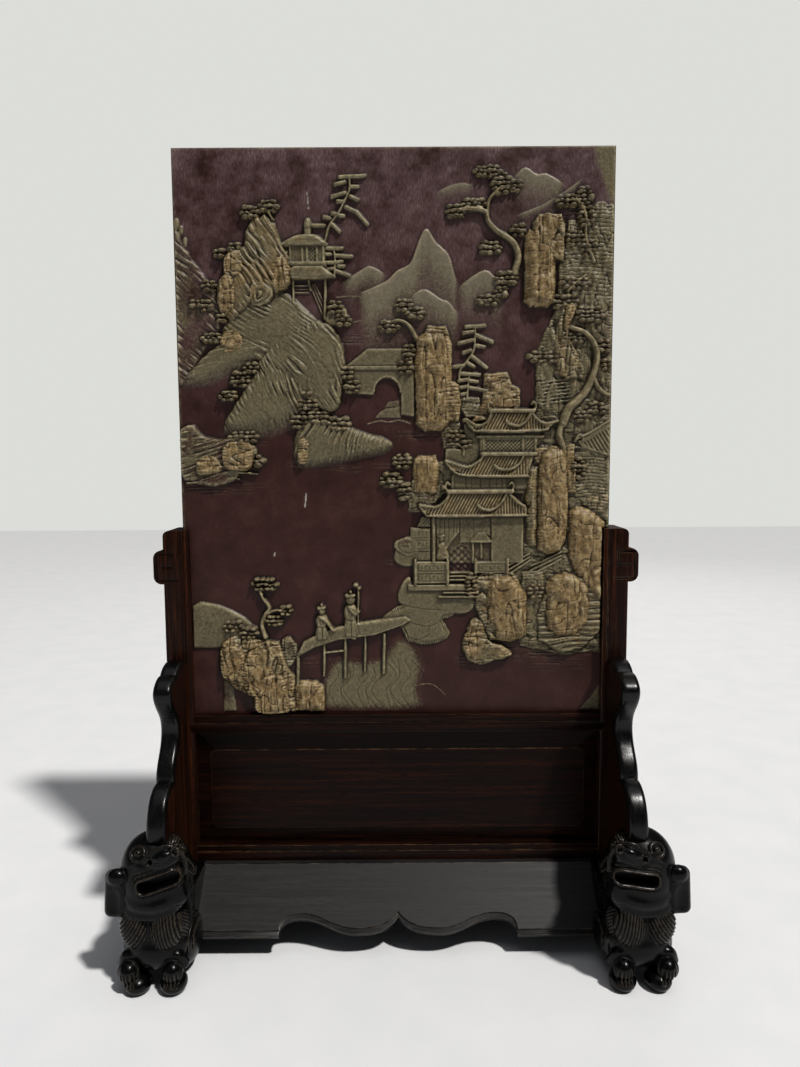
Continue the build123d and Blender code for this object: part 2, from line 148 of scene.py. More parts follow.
def carved_slate():
    """Layered slate, carved down through an ochre and a green layer to the maroon one, then rubbed.

    The layers show by how deep the carving goes. Wax and dust lie dark in the hollows, which are also
    painted dark as painted shade, and the crests are rubbed pale, with a painted highlight on them.
    """
    material, tree, shader, place = new_material("carved_slate")
    layer, hollow, fleck = [point_value(tree, name) for name in ("layer", "hollow", "fleck")]
    blotch = clouds(tree, place, 26, 6, 0.68)
    speck = clouds(tree, place, 2.2, 4, 0.7)
    streak = clouds(tree, place, 5.5, 7, 0.72, 0.2)
    brushed = clouds(tree, stretched(tree, place, (1, 1, 0.22)), 1.1, 3, 0.6)

    # A grey bloom has come up on the bare ground, and the ground is painted lighter towards the top: painted
    # light, where the light falls brighter
    height = add(tree, "ShaderNodeSeparateXYZ", {0: place}).outputs["Z"]
    upper = remapped(tree, height, 0.45, 0.7, 0.05)
    bloom_and_top_light = times(tree, upper, remapped(tree, blotch, 0.34, 0.66))
    scratched_bloom_and_top_light = times(tree, bloom_and_top_light, remapped(tree, brushed, 0.42, 0.7, 0.35))
    maroon = toned(tree, blotch, (0.3, "#321813"), (0.52, "#3d1f1a"), (0.7, "#482823"))
    ground = over(tree, scratched_bloom_and_top_light, maroon, colour("#8a7778"))

    # The layers above it, with edges that wander by the speckle
    green = toned(tree, speck, (0.3, "#5c553d"), (0.5, "#6b634b"), (0.72, "#827a61"))
    ochre = toned(tree, streak, (0.3, "#5a4a2e"), (0.5, "#86704c"), (0.7, "#a8916a"))
    needles = toned(tree, speck, (0.3, "#2e2519"), (0.7, "#564a33"))
    wandering = times(tree, times(tree, speck, 1.0, -0.5), 0.7, layer)
    lower = over(tree, remapped(tree, wandering, 0.1, 0.45), ground, green)
    rock = over(tree, remapped(tree, wandering, 0.6, 0.95), lower, ochre)
    stone = over(tree, remapped(tree, layer, 1.5, 1.8), rock, needles)

    # Hollows darkened for dust and as painted shade, crests lightened for wear and as a painted highlight,
    # and scratches down to pale stone
    dust_and_shade = over(tree, remapped(tree, hollow, 0.0, 1.0, 0.0, 0.85), stone, colour("#1c130c"))
    # The crests are painted pale: wear, and a painted highlight along them.
    crest = remapped(tree, hollow, 0.0, -0.8, 0.0, 0.6)
    wear_and_highlight = times(tree, crest, remapped(tree, streak, 0.42, 0.62, 0.12))
    rubbed = over(tree, wear_and_highlight, dust_and_shade, colour("#c0b493"))
    finish(tree, shader, over(tree, fleck, rubbed, colour("#b5ada4")),
           remapped(tree, speck, 0.3, 0.7, 0.36, 0.56), speck, 0.5, 0.35)
    shader.inputs["IOR"].default_value = 1.55
    shader.inputs["Specular IOR Level"].default_value = 0.3
    return material


def hardwood(name, along, dark, middle, light, roughness, specular=0.13):
    """Planed and waxed rosewood, its grain along one axis: dark streaks and short open pores."""
    material, tree, shader, place = new_material(name)
    streak_scale = [1 / (3.2 * MM)] * 3
    pore_scale = [1 / (0.9 * MM)] * 3
    streak_scale[along] = 1 / (110 * MM)
    pore_scale[along] = 1 / (9 * MM)
    one_metre = 1 / MM
    streaks = clouds(tree, stretched(tree, place, streak_scale), one_metre, 5, 0.62, 0.35)
    pores = clouds(tree, stretched(tree, place, pore_scale), one_metre)
    tone = toned(tree, streaks, (0.3, dark), (0.5, middle), (0.68, light))
    grain = over(tree, remapped(tree, pores, 0.36, 0.46, 0.75, 0.0), tone, colour(dark))
    polish = remapped(tree, streaks, 0.3, 0.7, roughness - 0.06, roughness + 0.08)
    finish(tree, shader, grain, polish, times(tree, streaks, 0.5, pores), 0.3, 0.2)
    shader.inputs["IOR"].default_value = 1.5
    shader.inputs["Specular IOR Level"].default_value = specular
    return material


def worn_and_highlit_edge(name, wear_and_highlight, under):
    """The eased edges of the planed members: the stain rubbed thin in patches by handling, and painted
    lighter as a painted highlight along the edges.
    """
    material, tree, shader, place = new_material(name)
    finish(tree, shader, toned(tree, clouds(tree, place, 14, 5, 0.7), (0.42, under), (0.66, wear_and_highlight)), 0.4)
    return material


def carved_blackwood():
    """Carved rosewood, stained black and polished by hand: crests rubbed brown, hollows left dull."""
    material, tree, shader, place = new_material("carved_blackwood")
    crest = point_value(tree, "crest")
    grain = clouds(tree, stretched(tree, place, (1, 1, 0.12)), 1.8, 4, 0.6)
    stain = toned(tree, clouds(tree, place, 9, 6, 0.7), (0.35, "#030303"), (0.55, "#060606"),
                  (0.75, "#0d0a08"))
    rub = times(tree, remapped(tree, crest, 0.5, 1.8), remapped(tree, grain, 0.35, 0.65, 0.1, 0.7))
    finish(tree, shader, over(tree, rub, stain, colour("#51483c")),
           remapped(tree, crest, -1.2, 0.2, 0.62, 0.25), grain, 0.2, 0.2)
    shader.inputs["Specular IOR Level"].default_value = 0.24
    return material


def pale_floor():
    """The floor under the screen: matt white board."""
    material, tree, shader, place = new_material("matt_white_board")
    finish(tree, shader, toned(tree, clouds(tree, place, 60, 3), (0.3, "#e2e4e6"), (0.7, "#e7e8e9")), 0.7)
    return material


slate = carved_slate()
post_wood = hardwood("rosewood_upright", 2, "#100603", "#27130a", "#4a2613", 0.38)
rail_wood = hardwood("rosewood_level", 0, "#0a0403", "#1c0c06", "#34180c", 0.4)
black_level = hardwood("blackened_rosewood_level", 0, "#161515", "#212020", "#2e2c2b", 0.5, 0.3)
black_upright = hardwood("blackened_rosewood_upright", 2, "#040303", "#080707", "#100d0b", 0.27, 0.35)
carved_black = carved_blackwood()
edge_wear_and_highlight = worn_and_highlit_edge("rubbed_and_highlit_edge", "#6d5238", "#21140d")
black_edge_wear_and_highlight = worn_and_highlit_edge("rubbed_and_highlit_black_edge", "#5b5145", "#151210")


# Meshes

def mesh_piece(name, points, faces, materials, smooth, body, stands_for):
    """A piece from arrays of points in metres and of faces, all four-cornered."""
    mesh = bpy.data.meshes.new(name)
    faces = np.asarray(faces, np.int32)
    mesh.vertices.add(len(points))
    mesh.vertices.foreach_set("co", np.asarray(points, np.float32).ravel())
    mesh.loops.add(faces.size)
    mesh.loops.foreach_set("vertex_index", faces.ravel())
    mesh.polygons.add(len(faces))
    mesh.polygons.foreach_set("loop_start", np.arange(0, faces.size, 4, dtype=np.int32))
    mesh.polygons.foreach_set("use_smooth", np.asarray(smooth, bool))
    mesh.update(calc_edges=True)
    for material in materials:
        mesh.materials.append(material)
    piece = bpy.data.objects.new(name, mesh)
    bpy.context.scene.collection.objects.link(piece)
    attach(piece, body)
    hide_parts(*stands_for)
    return piece


def give_values(piece, name, values):
    """Gives each point of a piece a value that its material reads."""
    attribute = piece.data.attributes.new(name, "FLOAT", "POINT")
    attribute.data.foreach_set("value", np.asarray(values, np.float32))


# A face is broad from this area, and from this share of its edge's length squared
broad_face = 400 * MM ** 2
broad_share = 0.01


def dressed(node, wood, edge_wood, rounding, side_wood=None):
    """A member with its sharp edges eased by some millimetres, which stands for its CAD node.

    side_wood is for the faces that look left or right.
    """
    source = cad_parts[node].data
    mesh = bpy.data.meshes.new(node + "_planed")
    mesh.from_pydata([v.co for v in source.vertices], [], [list(p.vertices) for p in source.polygons])
    work = bmesh.new()
    work.from_mesh(mesh)
    bmesh.ops.remove_doubles(work, verts=work.verts, dist=0.005 * MM)
    bmesh.ops.dissolve_limit(work, verts=work.verts, edges=work.edges, angle_limit=math.radians(0.5))
    sharp = [e for e in work.edges if e.is_manifold and e.calc_face_angle() > math.radians(35)]
    eased = bmesh.ops.bevel(work, geom=sharp, offset=rounding * MM, segments=2, profile=0.5,
                            affect="EDGES", clamp_overlap=True)
    # The eased edges take the lighter edge finish: stain worn thin, and a painted highlight.
    for face in eased["faces"]:
        face.material_index = 1
    if side_wood:
        for face in work.faces:
            if abs(face.normal.x) > 0.995:
                face.material_index = 2
    # The broad flat faces stay flat, and the bent and narrow ones are shaded round
    shaded_round = []
    for face in work.faces:
        area, around = face.calc_area(), sum(edge.calc_length() for edge in face.edges)
        shaded_round.append(area < broad_face or area < broad_share * around ** 2)
    work.to_mesh(mesh)
    work.free()
    mesh.materials.append(wood)
    mesh.materials.append(edge_wood)
    if side_wood:
        mesh.materials.append(side_wood)
    mesh.shade_smooth()
    mesh.set_sharp_from_angle(angle=math.radians(32))
    mesh.polygons.foreach_set("use_smooth", shaded_round)
    piece = bpy.data.objects.new(node + "_planed", mesh)
    bpy.context.scene.collection.objects.link(piece)
    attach(piece, "stand")
    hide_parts(node)
    return piece


for side in ("left", "right"):
    dressed(side + "_post", post_wood, edge_wear_and_highlight, 0.35)
for node in ("top_rail", "bottom_rail", "waist_panel"):
    dressed(node, rail_wood, edge_wear_and_highlight, 0.35)
for side in ("front", "rear"):
    dressed(side + "_apron", black_level, black_edge_wear_and_highlight, 0.4)
for corner in ("front_left", "front_right", "rear_left", "rear_right"):
    dressed(corner + "_spandrel", black_upright, black_upright, 0.3, post_wood)


# The carved slab

# The layer that a point shows: 0 is the maroon ground, then green, ochre, and the needles' own finish
GREEN = 0.5
PINE = 2.0

slab_low, slab_high = [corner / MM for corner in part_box("stone_slab")]
slab_back_y = slab_high.y
slab_face_y = -slab_back_y
relief_limit = slab_face_y - slab_low.y
post_top_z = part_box("right_post")[1].z / MM
groove_edge_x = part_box("waist_panel")[1].x / MM - 5.5
rail_top_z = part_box("top_rail")[1].z / MM
point_spacing = 0.65
slab_bevel = 1.0


def noise(x, z, cell_x, cell_z, seed):
    """Smooth random values from -1 to 1, in cells of so many millimetres."""
    lattice = np.random.default_rng(seed).uniform(-1, 1, (256, 256))
    u, v = x / cell_x, z / cell_z
    column, row = np.floor(u).astype(int), np.floor(v).astype(int)
    s, t = u - column, v - row
    s, t = s * s * (3 - 2 * s), t * t * (3 - 2 * t)
    near, far = column % 256, (column + 1) % 256
    low, high = row % 256, (row + 1) % 256
    return ((lattice[low, near] * (1 - s) + lattice[low, far] * s) * (1 - t)
            + (lattice[high, near] * (1 - s) + lattice[high, far] * s) * t)


def rough(x, z, cell_x, cell_z, seed, octaves=3):
    """Noise with finer noise on it."""
    total, share = 0.0, 0.0
    for octave in range(octaves):
        fine = 2.0 ** octave
        total = total + noise(x, z, cell_x / fine, cell_z / fine, seed + octave) / fine
        share += 1 / fine
    return total / share


def ease(value, low, high):
    """Rises smoothly from 0 at low to 1 at high."""
    t = np.clip((value - low) / (high - low), 0, 1)
    return t * t * (3 - 2 * t)


def curved(points, closed=True, parts=5):
    """A smooth line through the points."""
    p = np.asarray(points, float)
    if closed:
        before, after, last = np.roll(p, 1, 0), np.roll(p, -1, 0), np.roll(p, -2, 0)
    else:
        before = np.vstack([p[:1], p[:-1]])[:-1]
        after = p[1:]
        last = np.vstack([p[2:], p[-1:]])
        p = p[:-1]
    line = []
    for t in np.arange(parts) / parts:
        line.append(0.5 * (2 * p + (after - before) * t + (2 * before - 5 * p + 4 * after - last) * t ** 2
                           + (3 * p - before - 3 * after + last) * t ** 3))
    smooth = np.stack(line, 1).reshape(-1, p.shape[1])
    return smooth if closed else np.vstack([smooth, np.asarray(points, float)[-1:]])


def depth_inside(outline, x, z):
    """How far inside a closed outline each point is, in millimetres. Outside is negative."""
    nearest = np.full(x.shape, 1e9)
    inside = np.zeros(x.shape, bool)
    for (x0, z0), (x1, z1) in zip(outline, np.roll(outline, -1, 0)):
        dx, dz = x1 - x0, z1 - z0
        t = np.clip(((x - x0) * dx + (z - z0) * dz) / (dx * dx + dz * dz + 1e-12), 0, 1)
        nearest = np.minimum(nearest, (x - x0 - t * dx) ** 2 + (z - z0 - t * dz) ** 2)
        if dz:
            inside ^= ((z0 > z) != (z1 > z)) & (x < x0 + (z - z0) * dx / dz)
    return np.where(inside, 1, -1) * np.sqrt(nearest)


def along_segments(line, x, z):
    """For each segment of a line, how far along it each point is, from 0 to 1, and how far off it."""
    for (x0, z0), (x1, z1) in zip(line, line[1:]):
        dx, dz = x1 - x0, z1 - z0
        t = np.clip(((x - x0) * dx + (z - z0) * dz) / (dx * dx + dz * dz + 1e-12), 0, 1)
        yield t, np.hypot(x - x0 - t * dx, z - z0 - t * dz)


def oblong(low_x, low_z, high_x, high_z):
    """An upright oblong's outline."""
    return [(low_x, low_z), (low_x, high_z), (high_x, high_z), (high_x, low_z)]


def shoulder(depth, width):
    """The quarter-round shoulder of a mass, 0 at its outline and 1 from width inwards."""
    return np.sqrt(np.clip(1 - (1 - np.clip(depth / width, 0, 1)) ** 2, 0, 1))


class Carving:
    """The slab's face as a grid: how proud each point stands, and which layer of stone it shows."""

    def __init__(self):
        across = round((slab_high.x - slab_low.x) / point_spacing)
        up = round((slab_high.z - slab_low.z) / point_spacing)
        self.x, self.z = np.meshgrid(np.linspace(slab_low.x, slab_high.x, across + 1),
                                     np.linspace(slab_low.z, slab_high.z, up + 1))
        self.proud = np.zeros_like(self.x)
        self.layer = np.zeros_like(self.x)
        self.fleck = np.zeros_like(self.x)

    def around(self, points, margin):
        """The patch of the grid round some points."""
        low = np.min(points, 0) - margin
        high = np.max(points, 0) + margin
        columns = slice(*np.searchsorted(self.x[0], (low[0], high[0])))
        rows = slice(*np.searchsorted(self.z[:, 0], (low[1], high[1])))
        return rows, columns

    def keep_higher(self, patch, proud, layer):
        """Where a new form stands higher than what is there, it shows."""
        higher = proud > self.proud[patch]
        self.proud[patch] = np.where(higher, proud, self.proud[patch])
        self.layer[patch] = np.where(higher, layer, self.layer[patch])
        self.fleck[patch] = np.where(higher, 0, self.fleck[patch])

    def mass(self, points, height, edge, layer, face=None, smooth=False, dome=0.0, ragged=None,
             melt=0.0):
        """A raised mass with a round shoulder. face gives its carved surface, dome its swell.

        ragged is how far the outline strays, as that of a rock does, and melt is how far up from its
        lower edge a hill sinks away into the ground.
        """
        outline = curved(points) if smooth else np.asarray(points, float)
        stray = (1.1 if face else 0.0) if ragged is None else ragged
        patch = self.around(outline, 1.0 + 2 * stray)
        x, z = self.x[patch], self.z[patch]
        depth = depth_inside(outline, x + stray * rough(x, z, 9, 6, 501), z + stray * rough(x, z, 6, 9, 502))
        swell = dome * (1 - np.exp(-np.clip(depth, 0, None) / 14))
        surface = height + swell + (face(x, z, depth) if face else 0)
        shown = layer(x, z, depth) if callable(layer) else layer
        if melt:
            left = ease(depth_inside(outline + np.array([0, melt]), x, z), -melt, 0.4 * melt)
            surface, shown = surface * left, shown * left ** 0.5
        self.keep_higher(patch, np.where(depth > 0, shoulder(depth, edge) * surface, -1), shown)

    def rock(self, points, height, edge, layer, seed, deep, upright=True, spread=0.3, cell=9.0, **kind):
        """A rock: a mass that wanders between the layers, with a chipped face."""
        self.mass(points, height, edge, patchy(layer, seed, spread, cell), chipped(seed + 1, upright, deep),
                  **kind)

    def hill(self, points, height, edge, layer, seed, comb, spread=0.3, cell=9.0, **kind):
        """A hill: a mass that wanders between the layers. comb is what its combing takes."""
        self.mass(points, height, edge, patchy(layer, seed, spread, cell), combed(seed + 1, *comb), **kind)

    def stroke(self, points, start, end, height, layer, base=0.0, smooth=True, flat=0.0):
        """A rounded bar along a line, from one half-width to another. It stands on a level, base."""
        line = curved(points, closed=False) if smooth and len(points) > 2 else np.asarray(points, float)
        patch = self.around(line, max(start, end) + 0.5)
        x, z = self.x[patch], self.z[patch]
        steps = np.hypot(*np.diff(line, axis=0).T)
        run = np.concatenate([[0], np.cumsum(steps)]) / steps.sum()
        best = np.full(x.shape, -1.0)
        for (t, gap), r0, r1 in zip(along_segments(line, x, z), run, run[1:]):
            away = gap / (start + (end - start) * (r0 + (r1 - r0) * t))
            best = np.maximum(best, np.where(away < 1, np.sqrt(np.clip(1 - away ** 2, 0, 1)), -1))
        round_top = np.minimum(best, 1 - flat) / (1 - flat)
        self.keep_higher(patch, np.where(best > 0, base + round_top * height, -1), layer)

    def groove(self, points, width, depth, smooth=True):
        """A cut along a line."""
        line = curved(points, closed=False) if smooth and len(points) > 2 else np.asarray(points, float)
        patch = self.around(line, width + 0.5)
        x, z = self.x[patch], self.z[patch]
        nearest = np.minimum.reduce([gap for _, gap in along_segments(line, x, z)])
        self.proud[patch] -= depth * (1 - ease(nearest, 0, width))

    def scratch(self, points, width):
        """A scratch that has gone through to pale stone."""
        (_, gap), = along_segments(points, self.x, self.z)
        cut = ease(gap + 0.35 * noise(self.x, self.z, 1.5, 3, 61), width, width * 0.4)
        self.fleck = np.maximum(self.fleck, cut)
        self.proud -= 0.25 * cut

    def hatch(self, points, angle, spacing, depth, wander=0.0, seed=0, sharp=2.0):
        """Parallel cuts over the inside of an outline, at an angle from level."""
        outline = np.asarray(points, float)
        patch = self.around(outline, 0.5)
        x, z = self.x[patch], self.z[patch]
        inside = ease(depth_inside(outline, x, z), 0, 0.8)
        turn = math.radians(angle)
        across = z * math.cos(turn) - x * math.sin(turn) + wander * noise(x, z, 14, 14, seed)
        cut = (0.5 - 0.5 * np.cos(2 * math.pi * across / spacing)) ** sharp
        self.proud[patch] -= depth * inside * cut

    def lattice(self, points, spacing, depth):
        """Crossed cuts over the inside of an outline."""
        for angle in (45, -45):
            self.hatch(points, angle, spacing, depth)

    def blobs(self, centres, half_width, half_height, height, layer, seed=0):
        """Small round tufts, each on top of what is there."""
        pick = np.random.default_rng(seed)
        for x0, z0 in centres:
            grow = pick.uniform(0.8, 1.2)
            a, b = half_width * grow, half_height * grow
            patch = self.around([(x0 - a, z0 - b), (x0 + a, z0 + b)], 0.5)
            x, z = self.x[patch], self.z[patch]
            away = ((x - x0) / a) ** 2 + ((z - z0) / b) ** 2
            tilt = 0.12 * (z - z0) / b
            proud = np.where(away < 1, height * (np.clip(1 - away, 0, 1) ** 0.42 + tilt), -1)
            self.keep_higher(patch, proud * pick.uniform(0.9, 1.1), layer + pick.uniform(-0.12, 0.12))

    def pine(self, low_x, high_x, low_z, high_z, height, seed):
        """A pad of needles: rows of flat oval tufts, set like tiles in a ragged oval."""
        pick = np.random.default_rng(seed)
        middle, half = (low_x + high_x) / 2, (high_x - low_x) / 2
        rows = max(1, round((high_z - low_z) / 3.5))
        for row in range(rows):
            share = (row + 0.5) / rows * 2 - 1
            reach = max(half * math.sqrt(1 - share * share) - 2.0, 0.3)
            count = max(1, round(2 * reach / 4.4) + 1)
            for place in np.linspace(-reach, reach, count):
                size = pick.uniform(0.85, 1.2)
                x0 = middle + place + pick.uniform(-0.8, 0.8)
                z0 = low_z + (row + 0.5) * (high_z - low_z) / rows + pick.uniform(-0.6, 0.6)
                self.blobs([(x0, z0)], 2.9 * size, 1.75 * size, height * pick.uniform(0.6, 1.05), PINE,
                           seed + row)


def chipped(seed, upright=True, deep=1.3):
    """The face of a rock: stepped broken plates, long cracks along the grain and short ones across it."""
    def face(x, z, depth):
        u = x + 2.6 * noise(x, z, 13, 17, seed)
        w = z + 2.2 * noise(x, z, 15, 11, seed + 1)
        along, across = (u, w) if upright else (w, u)
        plates = 5 * rough(along, across, 6, 13, seed + 2, 2)
        chips = 3 * noise(along, across, 3.2, 5.5, seed + 8)
        steps = np.floor(plates) / 5 + 0.16 * ease(plates % 1, 0.8, 1)
        small_steps = np.floor(chips) / 3 + 0.25 * ease(chips % 1, 0.7, 1)
        long_crack = ease(np.abs(noise(along, across, 5, 40, seed + 3)), 0.1, 0.0)
        cross_crack = ease(np.abs(noise(along, across, 12, 5, seed + 4)), 0.1, 0.0)
        beds = (0.5 + 0.5 * np.cos(2 * math.pi * (z + 1.6 * noise(x, z, 12, 8, seed + 5)) / 2.7)) ** 2
        grain = noise(x, z, 0.9, 1.6, seed + 6)
        swell = noise(x, z, 12, 16, seed + 7)
        return deep * (1.9 * steps + 0.6 * small_steps - 1.3 * long_crack - 1.0 * cross_crack + 0.7 * swell
                       - 0.9 * beds * ease(depth, 7, 1.5) + 0.22 * grain)
    return face


def combed(seed, angle, fold=8.0, line=1.9, deep=0.9, wander=7.0):
    """The face of a hill: folds that sweep along it, and hand-cut creases, thickest near its edge."""
    turn = math.radians(angle)

    def face(x, z, depth):
        along = x * math.cos(turn) + z * math.sin(turn) + 500
        across = (z * math.cos(turn) - x * math.sin(turn) + 500 + wander * noise(x, z, 48, 48, seed)
                  + 1.2 * noise(along, z, 22, 14, seed + 1))
        phase = across / fold + 0.5 * noise(along, across, 60, 2 * fold, seed + 5)
        step = phase % 1 * ease(phase % 1, 1.0, 0.86)
        creases = ease(np.abs(noise(along, across, 22, 0.95 * line, seed + 2)), 0.34, 0.02)
        hairs = ease(np.abs(noise(along, across, 11, 0.55 * line, seed + 6)), 0.3, 0.0)
        shown = np.maximum(ease(noise(x, z, 17, 17, seed + 3), -0.1, 0.45), ease(depth, 11, 3))
        swell = noise(x, z, 24, 24, seed + 4)
        return deep * (1.5 * step * shown - 1.0 * creases * shown - 0.3 * hairs + 0.9 * swell)
    return face


def contoured(seed, line=2.0, deep=0.8):
    """The face of a rounded hill: creases that follow its outline."""
    def face(x, z, depth):
        bend = depth + 5 * noise(x, z, 20, 20, seed) + 1.2 * noise(x, z, 7, 7, seed + 1) + 50
        phase = bend / (2.6 * line)
        step = phase % 1 * ease(phase % 1, 1.0, 0.86)
        creases = ease(np.abs(noise(x + z, bend, 16, 0.9 * line, seed + 2)), 0.3, 0.02)
        return deep * (1.3 * step - 0.9 * creases + 0.9 * noise(x, z, 18, 18, seed + 3))
    return face


def fringed(x, z, depth):
    """The face of a cloud bank: smooth, with short cuts all along its edge."""
    cuts = (0.5 + 0.5 * np.cos(2 * math.pi * (x + 0.5 * z + noise(x, z, 5, 5, 175)) / 1.9)) ** 2
    return 0.3 * noise(x, z, 12, 12, 176) - 2.0 * cuts * ease(depth, 4.6, 2.4)


def patchy(layer, seed, spread=0.3, cell=9.0):
    """A layer that wanders, where the carver cut through to the next."""
    def shown(x, z, depth):
        return layer + spread * rough(x, z, cell, cell, seed)
    return shown


def far_hill(carving, ridge, height, fade):
    """A distant hill in low relief: crisp along its ridge, and lost in the ground below."""
    line = curved(ridge, closed=False, parts=8)
    patch = carving.around(line, 0.5)
    low_row = max(patch[0].start - round(2.5 * fade / point_spacing), 0)
    patch = (slice(low_row, patch[0].stop), patch[1])
    x, z = carving.x[patch], carving.z[patch]
    along = np.interp(x, line[:, 0], line[:, 1])
    below = along - z
    ends = ease(x, line[0, 0], line[0, 0] + 14) * ease(-x, -line[-1, 0], -line[-1, 0] + 9)
    strength = np.exp(-np.clip(below, 0, None) / fade) * ends
    shown = np.where(below > 0, shoulder(below, 0.9) * strength, -1)
    carving.keep_higher(patch, shown * height, 0.75 * strength ** 0.8)
    carving.fleck[patch] = np.maximum(carving.fleck[patch], 0.24 * strength * (below > 0))


def carve_far_hills(carving):
    """The far range across the middle, and the faint one under the top edge."""
    far_hill(carving, [(33, 657), (46, 663), (58, 666), (70, 664)], 0.35, 4)
    far_hill(carving, [(98, 664), (111, 678), (122, 673), (131, 673), (147, 664)], 1.0, 12)
    far_hill(carving, [(102, 638), (118, 644), (130, 649), (150, 661), (163, 671)], 0.4, 3)
    far_hill(carving, [(-48, 582), (-30, 593), (-22, 597), (-14, 594), (-6, 589)], 0.9, 9)
    far_hill(carving, [(-34, 573), (-8, 584), (2, 593), (14, 600), (22, 620), (28, 628), (36, 617),
                       (47, 606), (52, 590), (57, 578)], 1.5, 26)
    far_hill(carving, [(52, 576), (66, 587), (78, 593), (86, 588), (97, 572)], 1.2, 16)
    far_hill(carving, [(8, 562), (18, 574), (27, 577), (40, 569), (47, 566), (58, 553)], 1.4, 14)
    for line in ([(-50, 571), (-38, 572), (-25, 571)], [(-40, 549), (-20, 553), (-8, 557), (-2, 560)]):
        carving.stroke(line, 0.7, 0.4, 0.35, GREEN * 0.8)


def carve_left_shore(carving):
    """The left-hand rocks: striped slope, ochre peak, folded hills, great hill and spit."""
    slope = [(-190, 622), (-180, 612), (-170, 598), (-160, 584), (-151, 566), (-152, 545), (-165, 528),
             (-190, 500)]
    carving.hill(slope, 1.6, 3, 0.18, 11, (-42, 7, 1.9, 1.0, 6), spread=0.25, cell=14, smooth=True)
    carving.blobs([(-186, 622), (-183, 628), (-180, 618), (-187, 633)], 2.2, 4.5, 1.6, GREEN, 5)
    carving.hill([(-148, 536), (-142, 556), (-128, 570), (-112, 578), (-92, 574), (-78, 562), (-64, 548),
                 (-50, 538), (-44, 520), (-47, 494), (-52, 476), (-62, 474), (-84, 486), (-112, 512)],
                 1.8, 5, 0.48, 14, (-40, 4.2, 1.6, 1.2, 15), spread=0.14, smooth=True, dome=3.8)
    carving.hill([(-128, 530), (-120, 552), (-104, 560), (-84, 548), (-78, 534), (-96, 524)], 3.4, 9, 0.5,
                 16, (-50, 4.4, 1.6, 1.0, 10), spread=0.14, smooth=True, dome=3.0, melt=12)
    carving.hill([(-120, 512), (-106, 532), (-88, 545), (-66, 551), (-52, 544), (-44, 524), (-45, 500),
                 (-50, 476), (-62, 474), (-82, 486), (-104, 500)], 3.2, 4, 0.5, 18,
                 (-64, 4.6, 1.7, 1.2, 14), spread=0.14, smooth=True, dome=4.2)
    carving.hill([(-190, 496), (-176, 512), (-156, 530), (-140, 534), (-120, 534), (-102, 531),
                 (-99, 526), (-120, 514), (-150, 500), (-172, 492)], 3.4, 5, 0.5, 21,
                 (14, 4.6, 1.7, 0.9, 6), spread=0.15, smooth=True, dome=2.4, melt=12)
    carving.rock([(-152, 528), (-148, 541), (-138, 544), (-131, 536), (-134, 525), (-146, 522)], 5.6, 2.5,
                 0.95, 23, 1.0, upright=False, spread=0.2, smooth=True)
    carving.hill([(-112, 516), (-95, 510), (-80, 497), (-76, 480), (-88, 460), (-112, 448), (-142, 446),
                 (-151, 462), (-138, 482), (-126, 502)], 3.6, 6, 0.5, 31, (-58, 4.2, 1.6, 1.2, 14),
                 spread=0.16, smooth=True, dome=5.2, melt=16)
    carving.hill([(-90, 442), (-86, 458), (-74, 469), (-52, 465), (-26, 454), (-12, 451), (-2, 443),
                 (-12, 434), (-30, 430), (-56, 425), (-80, 422), (-88, 428)], 3.0, 6, 0.52, 35,
                 (76, 5, 1.7, 1.2, 9), spread=0.2, smooth=True, dome=4.0, melt=7)
    carving.rock([(-86, 428), (-86, 448), (-76, 452), (-76, 430)], 5.4, 3, 0.85, 37, 1.3, smooth=True)
    peak = [(-141, 548), (-150, 560), (-153, 575), (-147, 592), (-146, 606), (-136, 611), (-129, 614),
            (-128, 626), (-121, 637), (-110, 641), (-102, 632), (-97, 617), (-90, 610), (-88, 594),
            (-92, 578), (-102, 573), (-116, 574), (-122, 566), (-130, 560)]
    carving.hill(peak, 4.6, 4.5, 0.8, 41, (-66, 4.2, 1.7, 1.6, 14), spread=0.35, cell=16, dome=2.2)
    for points in ([(-152, 560), (-152, 584), (-140, 590), (-136, 572), (-142, 556)],
                   [(-146, 590), (-145, 606), (-134, 610), (-128, 598), (-134, 588)],
                   [(-104, 576), (-106, 598), (-98, 606), (-90, 600), (-90, 582)]):
        carving.rock(points, 8.2, 3.0, 1.0, 43, 1.2, spread=0.2, smooth=True)
    carving.mass([(-124, 565), (-124, 580), (-112, 584), (-104, 576), (-108, 566), (-118, 562)], 7.0, 2.5,
                 patchy(0.75, 45), contoured(46, 1.8, 1.2), smooth=True)
    carving.hill([(-190, 455), (-178, 462), (-168, 452), (-152, 450), (-140, 454), (-126, 446),
                 (-122, 436), (-134, 424), (-142, 414), (-160, 408), (-178, 411), (-190, 420)], 4.0, 3,
                 0.3, 51, (8, 5, 2.0, 1.1, 4), smooth=True)
    shore_beds = [(-184, -150, 411), (-178, -138, 415), (-186, -160, 447), (-182, -164, 440),
                  (-150, -122, 419), (-172, -146, 421), (-187, -172, 429)]
    for points, seed in (([(-151, 426), (-152, 442), (-142, 448), (-128, 446), (-124, 436), (-128, 424),
                           (-142, 421)], 54),
                         ([(-174, 418), (-174, 432), (-166, 436), (-155, 432), (-153, 420)], 56)):
        carving.rock(points, 7.6, 2.2, 0.95, seed, 1.1, upright=False, smooth=True)
    for low_x, high_x, z in shore_beds:
        carving.stroke([(low_x, z), ((low_x + high_x) / 2, z + 1.0), (high_x, z - 0.4)], 1.3, 0.7, 4.2,
                       0.35)


